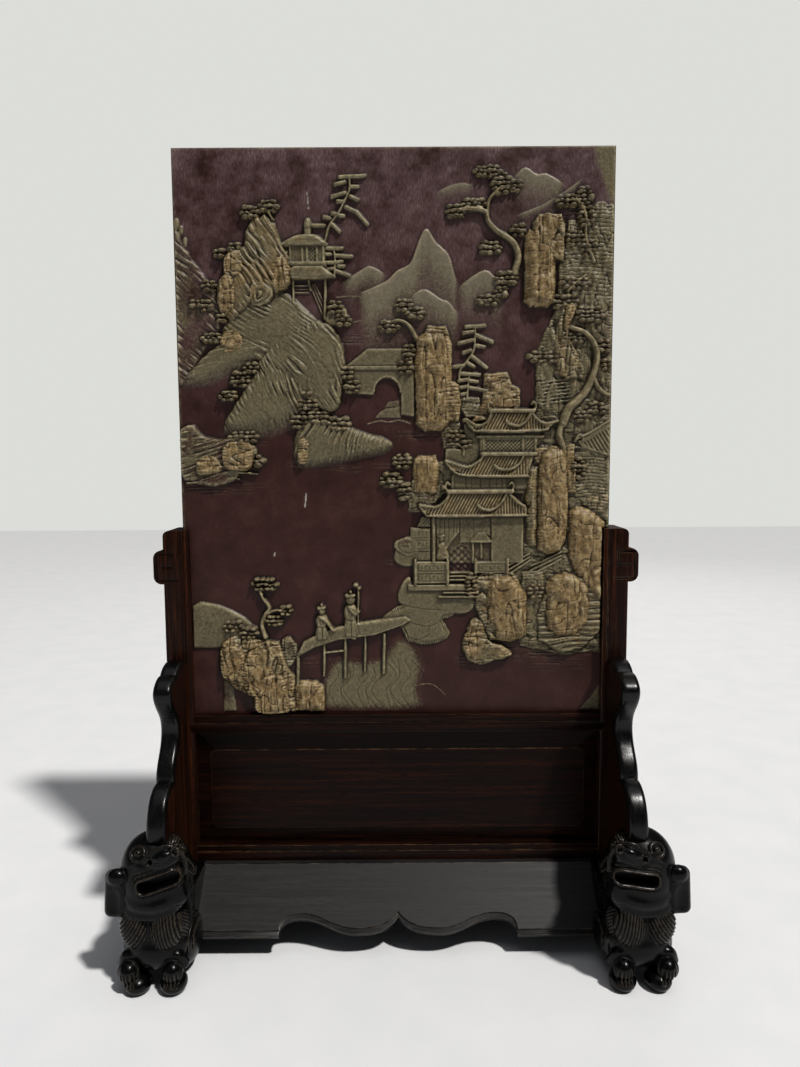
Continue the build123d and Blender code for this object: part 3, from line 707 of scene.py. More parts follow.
def carve_tower(carving):
    """The round tower with two roofs, behind the ochre peak."""
    carving.mass(oblong(-91, 597, -59, 614), 3.6, 1.5, patchy(0.45, 61, 0.15))
    for x in (-89.5, -79, -75, -66.5, -61):
        carving.stroke([(x, 598), (x, 613)], 0.9, 0.9, 1.0, GREEN, base=3.6)
    carving.lattice(oblong(-74, 599, -67, 613), 2.2, 0.7)
    carving.mass(oblong(-92, 595.5, -58, 601.5), 5.4, 2.4, 0.55)
    carving.mass([(-98, 614.5), (-93, 619), (-82, 623.5), (-68, 623.5), (-60, 618.5), (-57, 614),
                 (-66, 612.5), (-90, 612.5)], 6.4, 3.2, patchy(0.62, 62, 0.2), smooth=True)
    carving.groove([(-96, 614.6), (-84, 613.6), (-70, 613.6), (-58.5, 614.6)], 0.8, 1.0)
    for drop in (3.2, 6.0):
        carving.groove([(-93 + drop, 614.6 + drop), (-76, 615 + drop), (-62 - drop, 614.2 + drop)], 0.5,
                       0.4)
    carving.mass([(-92, 588), (-91, 595), (-86, 597.5), (-62, 597.5), (-55, 592), (-50, 587.5),
                 (-62, 585.5), (-88, 585.5)], 7.0, 2.8, patchy(0.6, 63, 0.2))
    carving.groove([(-90, 588.4), (-70, 587.6), (-52, 588.6)], 0.7, 1.0)
    carving.mass(oblong(-77.5, 622, -71, 629), 4.6, 2.0, 0.6)
    carving.blobs([(-74.2, 631.5)], 3.3, 5.6, 6.2, 0.65)
    carving.stroke([(-87.5, 586), (-87.5, 566)], 1.0, 1.0, 3.0, GREEN)
    carving.stroke([(-59.5, 586), (-60.5, 553)], 1.3, 1.3, 4.2, GREEN)
    carving.stroke([(-74, 585), (-72.5, 577)], 1.2, 1.0, 2.6, GREEN)
    for level in (575, 578, 581):
        carving.stroke([(-86, level), (-74, level)], 0.6, 0.6, 1.6, 0.3)
    for shift in (0, 2.2, 4.4):
        carving.stroke([(-73 + shift, 582), (-62.5 + shift * 0.4, 556 + shift * 2)], 0.6, 0.6, 1.6, 0.35)
    carving.mass([(-61, 553), (-58, 561), (-52, 566), (-43, 562), (-40, 553), (-43, 548), (-56, 547)],
                 3.4, 2.5, patchy(0.5, 64), contoured(65, 2.2, 0.6), smooth=True)


def carve_gate(carving):
    """The arched gate, with a hill and combed waves seen through it."""
    carving.mass([(-43, 512), (-24, 527), (16, 527), (16, 512)], 3.0, 0.9, patchy(0.5, 71, 0.08))
    carving.mass(oblong(-46, 508.5, 18, 512.5), 3.6, 0.9, 0.5)
    arch = [(-18.5 + 11.7 * (1 - math.cos(a)), 489 + 13 * math.sin(a)) for a in np.linspace(0, math.pi, 14)]
    carving.mass([(-44, 510), (-44, 489), (-30, 488), (-18.5, 487)] + arch + [(4.9, 470), (17, 468),
                 (17, 510)], 2.2, 0.8, patchy(0.48, 72, 0.1))
    for level in (505, 496.5, 490.5):
        carving.groove([(-43, level), (-20, level)], 0.45, 0.45)
    for x, level in ((-36, 508), (-28, 501), (-37, 493.5), (-15, 507)):
        carving.groove([(x, level - 2.6), (x, level + 2.6)], 0.45, 0.45)
    rim = [(x - 0.2, z + 0.6) for x, z in arch]
    carving.stroke(rim, 0.8, 0.8, 0.8, GREEN, base=2.2)
    carving.mass([(-18, 467), (-14, 472), (-9, 475.5), (-2, 476), (5, 478), (5, 467)], 0.9, 2.0,
                 patchy(0.35, 73), smooth=False)
    carving.mass([(-10, 476), (-6, 481), (4, 482.5), (4, 477)], 0.7, 1.6, 0.3)
    fringe = [(-24, 462), (-14, 464.5), (-6, 463.5), (4, 465), (13, 462)]
    carving.stroke(fringe, 0.6, 0.6, 0.8, 0.35)
    carving.hatch([(-22, 452), (-22, 463), (12, 463), (12, 450), (4, 444)], 76, 1.8, 0.22, 3, 74)


def pillar(carving, points, height, seed, layer=0.98, edge=9.0):
    """A square-cut pillar of ochre rock."""
    carving.rock(points, height, edge, layer, seed, 1.0, spread=0.22, cell=14)


def carve_cliffs(carving):
    """The pillars and cliffs down the right-hand side."""
    carving.rock([(190, 647), (176, 650), (168, 644), (163, 636), (150, 634), (146, 610), (142, 596),
                 (142, 566), (134, 548), (123, 522), (123, 478), (137, 470), (157, 460), (157, 398),
                 (168, 388), (190, 372)], 2.6, 2.0, 0.5, 81, 0.9, spread=0.2, cell=12)
    carving.rock([(123, 482), (122, 440), (112, 420), (112, 350), (104, 336), (106, 300), (112, 262),
                 (150, 254), (190, 258), (190, 482)], 1.8, 2.0, 0.55, 180, 0.9, upright=False, spread=0.2,
                 cell=12)

    def streaked(x, z, depth):
        return 0.6 * ease(depth, -1, 9) + 0.2 * rough(x, z, 6, 20, 83)
    carving.mass([(166, 706), (170, 684), (178, 660), (184, 646), (196, 646), (196, 706)], 0.3, 6.0,
                 streaked)
    for level in np.arange(571, 646, 3.4):
        left = 147 + 3.5 * math.sin(level)
        carving.groove([(left, level), (165, level + 0.8), (186, level - 0.6)], 0.6, 0.8)
    for level in np.arange(478, 498, 3.1):
        carving.stroke([(128, level), (140, level + 2), (156 + 3 * math.sin(level), level + 4)], 0.9, 0.4,
                       3.4, 0.6)
    carving.rock([(139, 505), (140, 545), (146, 566), (154, 566), (150, 540), (160, 520), (166, 505),
                 (164, 499), (150, 500)], 5.4, 2.5, 0.75, 84, 1.2)
    carving.rock([(146, 545), (147, 562), (154, 566), (158, 560), (152, 545), (149, 530)], 7.4, 2.4, 1.0,
                 86, 1.0)
    carving.rock([(66, 462), (76, 480), (78, 505), (98, 506), (103, 496), (110, 490), (110, 474),
                 (122, 472)], 4.4, 2.0, 0.85, 88, 1.2, upright=False)
    carving.rock([(56, 478), (58, 486), (74, 484), (80, 470), (62, 466)], 2.4, 1.5, 0.5, 90, 0.9,
                 upright=False)
    carving.rock([(118, 606), (119, 632), (124, 640), (144, 639), (147, 627), (146, 600)], 7.6, 2.4, 0.9,
                 92, 1.2)
    pillar(carving, [(112, 566), (112, 620), (116, 627), (134, 627), (140, 620), (139, 566), (132, 561),
                     (118, 561)], 9.0, 94)
    carving.rock([(24, 538), (28, 546), (44, 546), (47, 538)], 7.4, 2.2, 0.9, 96, 1.0, upright=False)
    pillar(carving, [(18, 462), (17, 520), (19, 536), (26, 541), (46, 541), (50, 530), (50, 466),
                     (42, 456), (26, 455)], 8.4, 98)
    carving.rock([(44, 464), (43, 494), (47, 500), (56, 496), (58, 480), (56, 464)], 6.0, 2.0, 0.85, 100,
                 1.2)
    for level in np.arange(468, 496, 3.6):
        carving.groove([(44, level), (57, level + 0.6)], 0.6, 0.9)
    carving.rock([(42, 440), (40, 462), (56, 466), (60, 446), (52, 438)], 2.0, 1.5, 0.5, 102, 0.8)
    carving.rock([(12, 384), (10, 400), (14, 412), (22, 420), (42, 430), (50, 424), (46, 404), (36, 392),
                 (22, 384)], 3.0, 2.0, 0.5, 104, 0.9)
    pillar(carving, [(16, 402), (15, 430), (20, 434), (36, 434), (39, 424), (37, 400), (24, 397)], 6.4, 106)
    carving.rock([(122, 440), (158, 444), (160, 400), (150, 400), (122, 430)], 5.0, 2.0, 0.8, 108, 1.1)
    pillar(carving, [(116, 352), (114, 410), (117, 423), (126, 424), (126, 352)], 7.6, 110, 0.7)
    pillar(carving, [(125, 350), (124, 414), (128, 436), (134, 440), (148, 440), (153, 430), (152, 360),
                     (146, 349), (134, 345)], 9.4, 112)
    carving.rock([(158, 398), (158, 412), (172, 410), (190, 404), (190, 376), (172, 386)], 3.6, 2.0, 0.7,
                 114, 1.3, upright=False)
    for level in np.arange(388, 434, 2.9):
        carving.groove([(160, level), (172, level + 1.0), (186, level - 0.5)], 0.6, 0.9)
    pillar(carving, [(154, 344), (153, 384), (160, 389), (172, 386), (180, 380), (186, 374), (186, 300),
                     (172, 310), (162, 326)], 7.6, 116)
    carving.rock([(146, 322), (150, 346), (164, 330), (186, 310), (186, 262), (170, 262), (166, 300)],
                 3.0, 2.0, 0.6, 118, 1.2, upright=False)
    carving.rock([(112, 276), (112, 330), (134, 332), (136, 276), (124, 270)], 3.4, 2.0, 0.6, 120, 1.1)
    carving.hill([(128, 268), (126, 290), (134, 322), (168, 326), (184, 310), (184, 276), (168, 260),
                 (146, 256)], 4.4, 2.5, 0.6, 122, (6, 5, 2.2, 1.2, 3))
    pillar(carving, [(134, 280), (132, 316), (138, 326), (150, 330), (166, 326), (174, 316), (174, 284),
                     (162, 272), (144, 270)], 9.2, 124)
    carving.rock([(70, 300), (70, 322), (78, 332), (104, 331), (112, 318), (112, 270), (84, 268),
                 (76, 284)], 5.0, 2.4, 0.7, 126, 1.2, upright=False)
    pillar(carving, [(82, 280), (80, 318), (86, 327), (100, 328), (112, 318), (118, 308), (117, 272),
                     (104, 266), (90, 268)], 9.0, 128)
    carving.rock([(60, 258), (62, 276), (68, 288), (76, 286), (84, 268), (98, 262), (104, 254), (90, 250),
                 (72, 246)], 6.0, 2.5, 0.8, 130, 1.2, upright=False, smooth=True, ragged=2.0)


def roof(carving, ridge_left, ridge_right, ridge_z, left_tip, eave, right_tip, height, split=None):
    """A tiled roof: a ridge bar, hips that curl up at the eave, slanting tiles, and a gable end."""
    face = [(ridge_left, ridge_z)] + left_tip + eave + right_tip + [(ridge_right, ridge_z)]
    carving.mass(face, height, 1.0, patchy(0.78, 140, 0.12))
    low_z = min(z for _, z in eave)
    middle = (ridge_left + ridge_right) / 2
    edge = split if split else ridge_right
    carving.hatch([(ridge_left, ridge_z), (left_tip[0][0], left_tip[0][1]), (eave[0][0], low_z + 1.2),
                  (edge - 12, low_z + 1.2), (edge, ridge_z)], 62, 2.5, 1.7)
    carving.hatch([(edge, ridge_z), (edge - 10, low_z + 1.2), (eave[-1][0], low_z + 1.2),
                  (right_tip[-1][0], right_tip[-1][1])], 92, 2.5, 1.7)
    carving.stroke([(ridge_left, ridge_z)] + left_tip, 0.9, 1.1, 1.6, 0.55, base=height, smooth=True)
    carving.stroke(eave, 0.9, 0.9, 1.0, 0.55, base=height, smooth=True)
    carving.stroke([(ridge_left - 1, ridge_z + 1.6), (middle, ridge_z + 1.6),
                   (ridge_right + 1, ridge_z + 1.6)], 1.7, 1.7, 2.0, 0.6, base=height, smooth=False,
                   flat=0.4)


def carve_hall(carving):
    """The stepped hall: three roofs with curled hips over lattice, plank and open walls."""
    # Ground and back walls, then each storey from the top down
    carving.mass([(60, 462), (62, 440), (44, 440), (42, 400), (118, 400), (124, 440), (140, 462)], 2.4,
                 1.0, patchy(0.48, 150, 0.15))
    carving.mass([(74, 433), (74, 456), (128, 456), (122, 433)], 4.2, 0.8, patchy(0.5, 151, 0.1))
    carving.lattice(oblong(79, 436, 111, 448), 2.4, 0.9)
    carving.hatch(oblong(113, 436, 122, 448), 45, 2.4, 0.9)
    for x in (77.5, 112, 123):
        carving.stroke([(x, 434), (x, 450)], 0.8, 0.8, 0.8, GREEN, base=4.2)
    carving.stroke([(72, 450.5), (130, 450.5)], 1.3, 1.3, 1.2, 0.55, base=4.2, smooth=False)
    for x in np.arange(74, 130, 2.6):
        carving.blobs([(x, 450.6)], 0.9, 1.3, 6.2, 0.6)
    carving.mass([(48, 404), (50, 419), (116, 419), (116, 404)], 4.2, 0.8, patchy(0.48, 152, 0.1))
    for x in (52, 62, 67, 75, 83, 89, 94, 98):
        carving.groove([(x, 404), (x, 416)], 0.6, 0.9)

    roof(carving, 84, 120, 471, [(80, 463), (72, 460), (62, 465.5)],
         [(62, 464.5), (67, 457.5), (76, 454.8), (120, 454.8), (134, 456.5)], [(142, 463.5), (129, 462)], 7.0,
         118)
    roof(carving, 77, 122, 433.5, [(72, 428), (62, 424), (44, 429.5)],
         [(44, 428.5), (50, 421), (60, 416.6), (90, 415.2), (117, 415.2)], [(118, 420)], 7.0, 113)
    roof(carving, 47, 102, 400.5, [(44, 395), (36, 389), (21, 390.5)],
         [(21, 389.5), (26, 383), (34, 380.6), (90, 380.6), (116, 380.6)], [(116, 388), (108, 395)], 7.0, 98)
    for hip in ([(118, 470), (114, 463), (107, 459.5), (99, 461.5), (97, 463.5)],
                [(112, 433), (108, 426), (100, 421.5), (91, 422), (87, 425)],
                [(97, 399), (92, 391), (84, 386), (76, 387), (72.5, 390)]):
        carving.stroke(hip, 1.0, 1.2, 2.0, 0.58, base=7.0)
        under = [(x, z - 2.2) for x, z in hip[1:-1]]
        carving.groove(under, 0.7, 1.0)
    for hip in ([(120, 470), (125, 464.5), (132, 461.5), (142, 463.5)],
                [(101, 399), (107, 393), (114, 389)]):
        carving.stroke(hip, 1.0, 1.1, 2.0, 0.58, base=7.0)
    for x, z, lean in ((83, 472, -1), (121, 472, 1), (46, 402, -1), (102, 402, 1)):
        carving.stroke([(x, z), (x + 2.0 * lean, z + 4.5), (x + 0.4 * lean, z + 8),
                       (x - 1.6 * lean, z + 6.2)], 1.5, 1.1, 7.6, 0.6)
    carving.blobs([(42.5, 405.5), (60.5, 464.5)], 2.4, 2.4, 7.8, 0.55)

    # The open ground floor: columns, curtain, a seated figure, the tiled floor and the plain wall
    carving.mass(oblong(32, 338, 116, 381), 1.4, 0.6, patchy(0.3, 153, 0.1))
    carving.mass(oblong(84.5, 338, 113.5, 381), 3.6, 0.8,
                 patchy(0.46, 154, 0.08))
    carving.mass([(36, 362), (35, 381), (57, 381), (56.5, 366), (50, 358), (45, 350), (42, 340),
                 (36, 340)], 2.8, 0.7, patchy(0.5, 155, 0.12))
    for x in (39.5, 43.5, 47.5, 52, 55):
        carving.groove([(x, 381), (x - 1, 352 + abs(x - 42))], 0.6, 0.8)
    carving.mass([(57, 356.5), (57, 381), (84, 381), (84, 362), (74, 366), (68, 358), (66, 356.5)], 2.6,
                 0.7, patchy(0.46, 156, 0.1))
    for x in (63, 69, 76):
        carving.groove([(x, 358), (x, 381)], 0.5, 0.7)
    carving.mass([(66, 358), (73, 366), (79, 366), (85, 358)], 3.4, 0.7, 0.52)
    carving.mass(oblong(66, 356.5, 86, 358.5), 4.4, 0.7, 0.56)
    for x, low, wide in ((68.6, 339, 1.3), (76, 343, 1.2)):
        carving.stroke([(x, low), (x, 356)], wide, wide, 3.0, GREEN)
    carving.stroke([(33.5, 338), (33.5, 381)], 1.8, 1.8, 4.6, 0.58)
    carving.lattice([(44, 331), (44, 345), (57, 355), (66, 352), (66, 331)], 4.6, 0.7)
    seated_figure(carving, 41, 342)
    carving.mass([(12, 349), (13, 370), (31, 370), (31, 349)], 2.4, 0.7, 0.5)
    fret(carving, 14, 30, 351, 359, 2.4)
    fret(carving, 14, 30, 361, 369, 2.4)
    carving.mass([(19, 371), (23, 380), (31, 380), (31, 371)], 2.0, 0.7, 0.48)
    carving.hatch([(20, 371), (23, 380), (31, 380), (31, 371)], 50, 2.4, 0.7)
    carving.mass([(16, 340), (18, 349), (31, 349), (31, 340)], 1.8, 0.7, 0.45)

    # Balustrades, steps and railings before it
    carving.mass([(0, 350), (-1, 357), (10, 362), (18, 360), (20, 348), (10, 344)], 2.2, 2.0,
                 patchy(0.5, 157), contoured(158, 2.0, 0.6), smooth=True)
    carving.mass(oblong(16, 320, 47, 340), 5.0, 0.8, 0.54)
    fret(carving, 20, 43, 331.5, 338, 5.0)
    fret(carving, 20, 43, 322.5, 329, 5.0)
    for x in (17.2, 45.8):
        carving.stroke([(x, 320), (x, 341)], 1.3, 1.3, 1.2, 0.58, base=5.0)
    carving.mass(oblong(70, 329, 101, 340), 4.0, 0.8, 0.52)
    fret(carving, 74, 97, 331, 337.5, 4.0)
    for x in (71, 99.5):
        carving.stroke([(x, 329), (x, 341)], 1.2, 1.2, 1.0, 0.58, base=4.0)
    for low, high in (((101, 331), (119, 345)), ((120, 330), (147, 346))):
        for rise in (0, 4.5, 9):
            carving.stroke([(low[0], low[1] + rise * 0.9 - 3), (high[0], high[1] + rise * 0.7 - 5)], 1.0,
                           1.0, 3.6, 0.52, smooth=False)
    carving.mass(oblong(10, 313.5, 62, 319.5), 4.6, 0.9, 0.52)
    for number, level in enumerate((329.5, 326.3, 323.1)):
        carving.stroke([(48, level), (71 + number, level)], 0.85, 0.85, 2.6 + number, 0.62, smooth=False)
    for number, level in enumerate((315.6, 311.8, 308.0)):
        carving.stroke([(46 - 4 * number, level), (72 + number, level)], 0.95, 0.95, 5.0 + 0.6 * number,
                       0.66, smooth=False)
    carving.mass([(3, 302), (4, 318), (12, 326), (20, 316), (62, 314), (70, 300), (60, 292), (30, 296)],
                 2.4, 2.0, patchy(0.5, 159), smooth=True)

    # The side roof at the slab's edge
    carving.mass([(160, 446), (190, 464), (190, 432), (176, 436), (164, 440)], 4.0, 1.0,
                 patchy(0.48, 160, 0.1))
    carving.hatch([(164, 444), (190, 460), (190, 434), (176, 437)], -58, 3.0, 1.2)
    carving.stroke([(160, 448), (174, 455), (190, 465)], 1.4, 1.4, 5.0, 0.56)
    carving.stroke([(158, 446), (161, 451), (165, 450), (164, 446)], 1.3, 0.9, 6.0, 0.58)
    carving.stroke([(150, 441), (164, 440), (178, 434)], 0.9, 0.9, 3.4, GREEN)


def fret(carving, low_x, high_x, low_z, high_z, level):
    """A squared fret panel, cut in: a frame of grooves with keyed strokes between."""
    frame_line = [(low_x, low_z), (high_x, low_z), (high_x, high_z), (low_x, high_z), (low_x, low_z)]
    carving.groove(frame_line, 0.55, 0.9, smooth=False)
    middle = (low_z + high_z) / 2
    step = 3.6
    for number, x in enumerate(np.arange(low_x + 2.2, high_x - 2.0, step)):
        lift = 1.3 if number % 2 else -1.3
        carving.groove([(x, middle - lift), (x, middle + lift), (x + step / 2, middle + lift)], 0.5, 0.8,
                       smooth=False)


def seated_figure(carving, x, z):
    """A small figure in a robe, seated by the column."""
    carving.mass([(x - 5, z), (x - 4, z + 8), (x - 3, z + 14), (x + 2, z + 15), (x + 5, z + 8),
                 (x + 6, z)], 4.2, 2.2, 0.66, smooth=True)
    carving.blobs([(x - 0.5, z + 18)], 2.3, 2.7, 5.0, 0.72)
    carving.stroke([(x - 2.4, z + 20.2), (x + 1.4, z + 20.8)], 1.0, 1.0, 5.2, 0.6, smooth=False)
    carving.stroke([(x - 3, z + 12), (x + 1, z + 9), (x + 4, z + 10)], 1.3, 0.9, 4.8, 0.7)
    carving.groove([(x - 2, z + 7), (x + 1, z + 4), (x + 5, z + 3)], 0.5, 0.7)


def standing_figure(carving, x, z, height, girth, arm, staff=False):
    """A small figure in a long belted robe and a round cap, on the bridge. Its face is a plain oval."""
    head = height * 0.1
    shoulder_z = z + height * 0.74
    robe = [(-0.8, 0), (-1.0, 0.18), (-0.85, 0.42), (-0.95, 0.62), (-0.6, 0.76), (0, 0.79), (0.6, 0.76),
            (1.0, 0.6), (0.8, 0.42), (1.05, 0.2), (0.8, 0)]
    carving.mass([(x + girth * across, z + height * up) for across, up in robe], 6.4, 3.2, 0.58,
                 smooth=True)
    for across, top, foot in ((0.05, 0.4, 0.02), (-0.55, 0.34, 0.04), (0.55, 0.34, 0.03)):
        carving.groove([(x + girth * across, z + height * top),
                       (x + girth * across * 1.3, z + height * foot)], 0.55, 1.1)
    carving.groove([(x - girth, z + height * 0.44), (x, z + height * 0.4),
                   (x + girth, z + height * 0.44)], 0.6, 1.2)
    for lean in (-1, 1):
        carving.groove([(x + lean * girth * 0.5, shoulder_z),
                       (x + lean * girth * 0.15, z + height * 0.5)], 0.5, 0.8)
    carving.stroke([(x + girth * 0.2, z - 1), (x + girth * 0.55, z - 1.6)], 1.5, 1.3, 5.4, 0.56,
                   smooth=False)
    carving.blobs([(x, shoulder_z + head * 1.5)], head, head * 1.3, 7.4, 0.7)
    carving.stroke([(x - head * 0.9, shoulder_z + head * 2.4), (x + head * 0.8, shoulder_z + head * 2.5)],
                   1.9, 1.5, 7.8, 0.5, smooth=False)
    carving.blobs([(x, shoulder_z + head * 3.3)], 1.5, 1.4, 7.2, 0.5)
    carving.stroke([(x - girth * 0.2, shoulder_z - 1)] + [(x + dx, z + dz) for dx, dz in arm], 2.4, 1.5,
                   7.6, 0.62)
    if staff:
        carving.stroke([(x + 6.5, z + height * 0.3), (x + 7, z + height + 6)], 0.8, 0.8, 5.6, 0.6)
        carving.blobs([(x + 4.8, z + height + 8.6), (x + 7.6, z + height + 6)], 2.6, 2.1, 6.0, 0.6)


def carve_bridge(carving):
    """The bottom: near hill, bank, plank bridge with its two figures, clouds and the combed wave bank."""
    carving.mass([(-184, 262), (-184, 300), (-176, 305), (-160, 302), (-148, 297), (-136, 290),
                 (-128, 282), (-136, 262)], 2.4, 3.0, patchy(0.46, 171, 0.12), smooth=False, dome=1.0)
    def faded(x, z, depth):
        return 0.52 * ease(depth, 0, 11) + 0.12 * rough(x, z, 12, 12, 172)
    carving.mass([(-66, 203), (-70, 222), (-64, 242), (-50, 256), (-34, 252), (-14, 256), (0, 272),
                 (16, 268), (26, 246), (22, 224), (18, 203)], 0.5, 9.0, faded, smooth=True)
    for number in range(13):
        start = -58 + number * 6
        lean = 5 * math.sin(number * 1.7)
        carving.groove([(start + 4, 205), (start - 4 + lean, 222), (start + 5 + lean, 236),
                       (start - 1, 250)], 0.6, 0.7)
    carving.stroke([(16, 226), (32, 227), (44, 217)], 0.5, 0.4, 0.45, 0.4)
    cloud = [(-12, 288), (-4, 296), (8, 303), (6, 312), (12, 322), (26, 320), (46, 318), (66, 314),
             (70, 300), (56, 296), (50, 290), (42, 286), (48, 276), (44, 268), (26, 264), (10, 268), (4, 280)]
    carving.mass(cloud, 2.4, 1.6, patchy(0.5, 173, 0.12), fringed, smooth=True, dome=0.5)
    for low, high in (((8, 300), (40, 296)), ((14, 284), (44, 288)), ((10, 272), (30, 274))):
        carving.groove([low, ((low[0] + high[0]) / 2, low[1] - 3), high], 0.7, 0.7)
    carving.mass([(-1, 340), (0, 352), (8, 358), (16, 352), (20, 340), (10, 335)], 1.6, 2.0,
                 patchy(0.48, 174), smooth=True)

    for x, foot, wide in ((-89, 222, 1.6), (-65, 236, 1.3), (-46, 234, 1.5), (-28, 240, 1.2),
                          (-11, 238, 1.5)):
        carving.stroke([(x, 256 if x < -80 else 274), (x - 1, foot)], wide, wide, 3.6, 0.5, smooth=False)
    carving.stroke([(-66, 257), (-47, 259)], 0.9, 0.9, 3.0, 0.45)
    deck = [(-92, 252), (-84, 268), (-62, 279), (-36, 285), (-8, 289), (8, 291), (14, 287), (6, 282),
            (-20, 273), (-52, 269), (-74, 262)]
    carving.mass(deck, 5.0, 1.6, patchy(0.52, 175, 0.1), smooth=False)
    carving.groove([(-90, 254.5), (-72, 264.5), (-50, 272), (-20, 276), (4, 284)], 0.5, 0.8)
    for number in range(15):
        x = -84 + number * 6.4
        low = np.interp(x, [-90, -72, -50, -20, 6], [255, 265, 272.5, 276.5, 284])
        carving.groove([(x, low + 0.8), (x - 2.2, low + 8)], 0.45, 0.45)

    carving.rock([(-160, 252), (-158, 268), (-146, 274), (-124, 270), (-106, 268), (-100, 250),
                 (-96, 240), (-92, 236), (-92, 203), (-128, 203), (-130, 216), (-146, 224), (-158, 238)],
                 6.2, 3.0, 0.85, 176, 1.4, spread=0.25)
    for seed, points in (
            (178, [(-158, 236), (-159, 258), (-150, 266), (-138, 262), (-136, 244), (-146, 232)]),
            (180, [(-136, 222), (-138, 250), (-128, 262), (-114, 260), (-110, 240), (-118, 220)]),
            (182, [(-126, 203), (-128, 226), (-118, 238), (-104, 238), (-98, 224), (-98, 203)])):
        carving.rock(points, 8.2, 2.6, 0.95, seed, 1.3, smooth=True)
    pillar(carving, [(-93, 203), (-93, 228), (-88, 232), (-72, 232), (-66, 226), (-65, 203)], 6.4, 184)
    carving.rock([(-100, 244), (-104, 266), (-96, 272), (-90, 262), (-92, 250)], 4.0, 2.0, 0.6, 186, 1.3,
                 smooth=True)
    carving.mass([(-158, 203), (-157, 232), (-149, 232), (-146, 203)], 0.9, 3.0, patchy(0.45, 188),
                 smooth=False)
    carving.mass([(166, 203), (176, 214), (184, 226), (190, 226), (190, 203)], 0.4, 4.0, 0.4)
    standing_figure(carving, -67, 269, 30, 6.2, [(4, 18), (8, 12), (11, 9)])
    standing_figure(carving, -41, 272, 38, 6.6, [(4, 21), (7, 23)], staff=True)


def carve_pines(carving):
    """The pines: knotted trunks and pads of needles."""
    trunks = [
        ([(104, 592), (107, 604), (104, 614), (98, 620), (88, 626), (81, 634), (78, 642), (66, 644),
          (50, 643)], 3.2, 1.3, 5.2),
        ([(80, 638), (81, 650), (86, 657), (92, 662)], 1.7, 1.1, 4.4),
        ([(20, 533), (16, 541), (11, 548), (4, 551), (-2, 550)], 2.0, 1.1, 4.6),
        ([(147, 462), (152, 474), (160, 482), (167, 490), (173, 504), (176, 520), (172, 532), (164, 540),
          (152, 544)], 4.6, 2.0, 7.6),
        ([(172, 504), (177, 493), (184, 487), (190, 485)], 2.8, 1.3, 6.4),
        ([(147, 464), (144, 452), (148, 440)], 3.4, 3.0, 6.4),
        ([(60, 434), (60, 440), (54, 444), (46, 444)], 1.3, 0.9, 4.0),
        ([(-118, 272), (-121, 283), (-118, 292), (-114, 299), (-119, 307), (-122, 314)], 2.3, 1.5, 5.6),
        ([(-118, 292), (-110, 296), (-102, 297)], 1.3, 0.9, 4.8),
        ([(-104, 636), (-110, 645), (-118, 643), (-126, 641)], 1.2, 0.8, 4.6),
        ([(172, 600), (165, 618), (164, 640), (156, 652)], 1.8, 1.2, 4.8),
        ([(150, 575), (158, 583), (165, 588)], 1.4, 1.0, 5.0),
    ]
    for line, start, end, height in trunks:
        carving.stroke(line, start, end, height, 0.66)
        carving.groove([(x + 0.5, z) for x, z in line], 0.5, 0.5)
    pads = [
        (44, 62, 637, 648), (58, 80, 643, 653), (68, 92, 670, 680), (84, 100, 656, 674), (98, 110, 658, 668),
        (73, 93, 606, 618), (86, 108, 580, 592), (71, 90, 563, 572), (86, 98, 570, 579), (100, 113, 620, 632),
        (138, 158, 645, 656), (156, 170, 646, 662), (158, 172, 628, 646), (148, 164, 612, 626),
        (160, 174, 604, 618), (144, 170, 576, 586), (136, 160, 560, 572), (156, 182, 548, 562),
        (142, 166, 530, 540), (116, 146, 514, 524), (176, 188, 522, 534), (180, 190, 506, 518),
        (156, 172, 462, 472), (166, 186, 470, 480), (-14, 4, 541, 551), (0, 16, 558, 569), (10, 26, 552, 562),
        (-2, 14, 423, 436), (-13, 6, 406, 419), (2, 13, 395, 410), (44, 62, 445, 457), (58, 68, 440, 448),
    ]
    for number, (low_x, high_x, low_z, high_z) in enumerate(pads):
        carving.pine(low_x, high_x, low_z, high_z, 6.4 if low_x > 100 else 5.6, 200 + number)
    left_pads = [
        (-132, -114, 637, 647), (-116, -99, 642, 652), (-144, -132, 607, 617), (-156, -146, 604, 612),
        (-166, -154, 576, 586), (-178, -166, 562, 570), (-168, -157, 559, 569), (-154, -145, 549, 557),
        (-168, -150, 532, 541), (-144, -126, 494, 508), (-132, -118, 506, 516), (-154, -138, 482, 491),
        (-92, -76, 458, 470), (-86, -68, 470, 490), (-76, -58, 462, 474), (-60, -40, 456, 468),
        (-146, -120, 446, 456), (-124, -116, 424, 436), (-48, -36, 500, 512), (-44, -30, 488, 500),
        (-58, -44, 556, 568), (-52, -38, 546, 556), (-130, -106, 314, 326), (-106, -94, 291, 301),
        (-118, -102, 282, 292), (-156, -138, 276, 288), (-142, -124, 270, 282), (-124, -108, 258, 268),
        (62, 72, 306, 330), (118, 132, 306, 320), (156, 168, 412, 432), (2, 16, 504, 516), (6, 18, 516, 530),
    ]
    for number, (low_x, high_x, low_z, high_z) in enumerate(left_pads):
        carving.pine(low_x, high_x, low_z, high_z, 7.6, 300 + number)


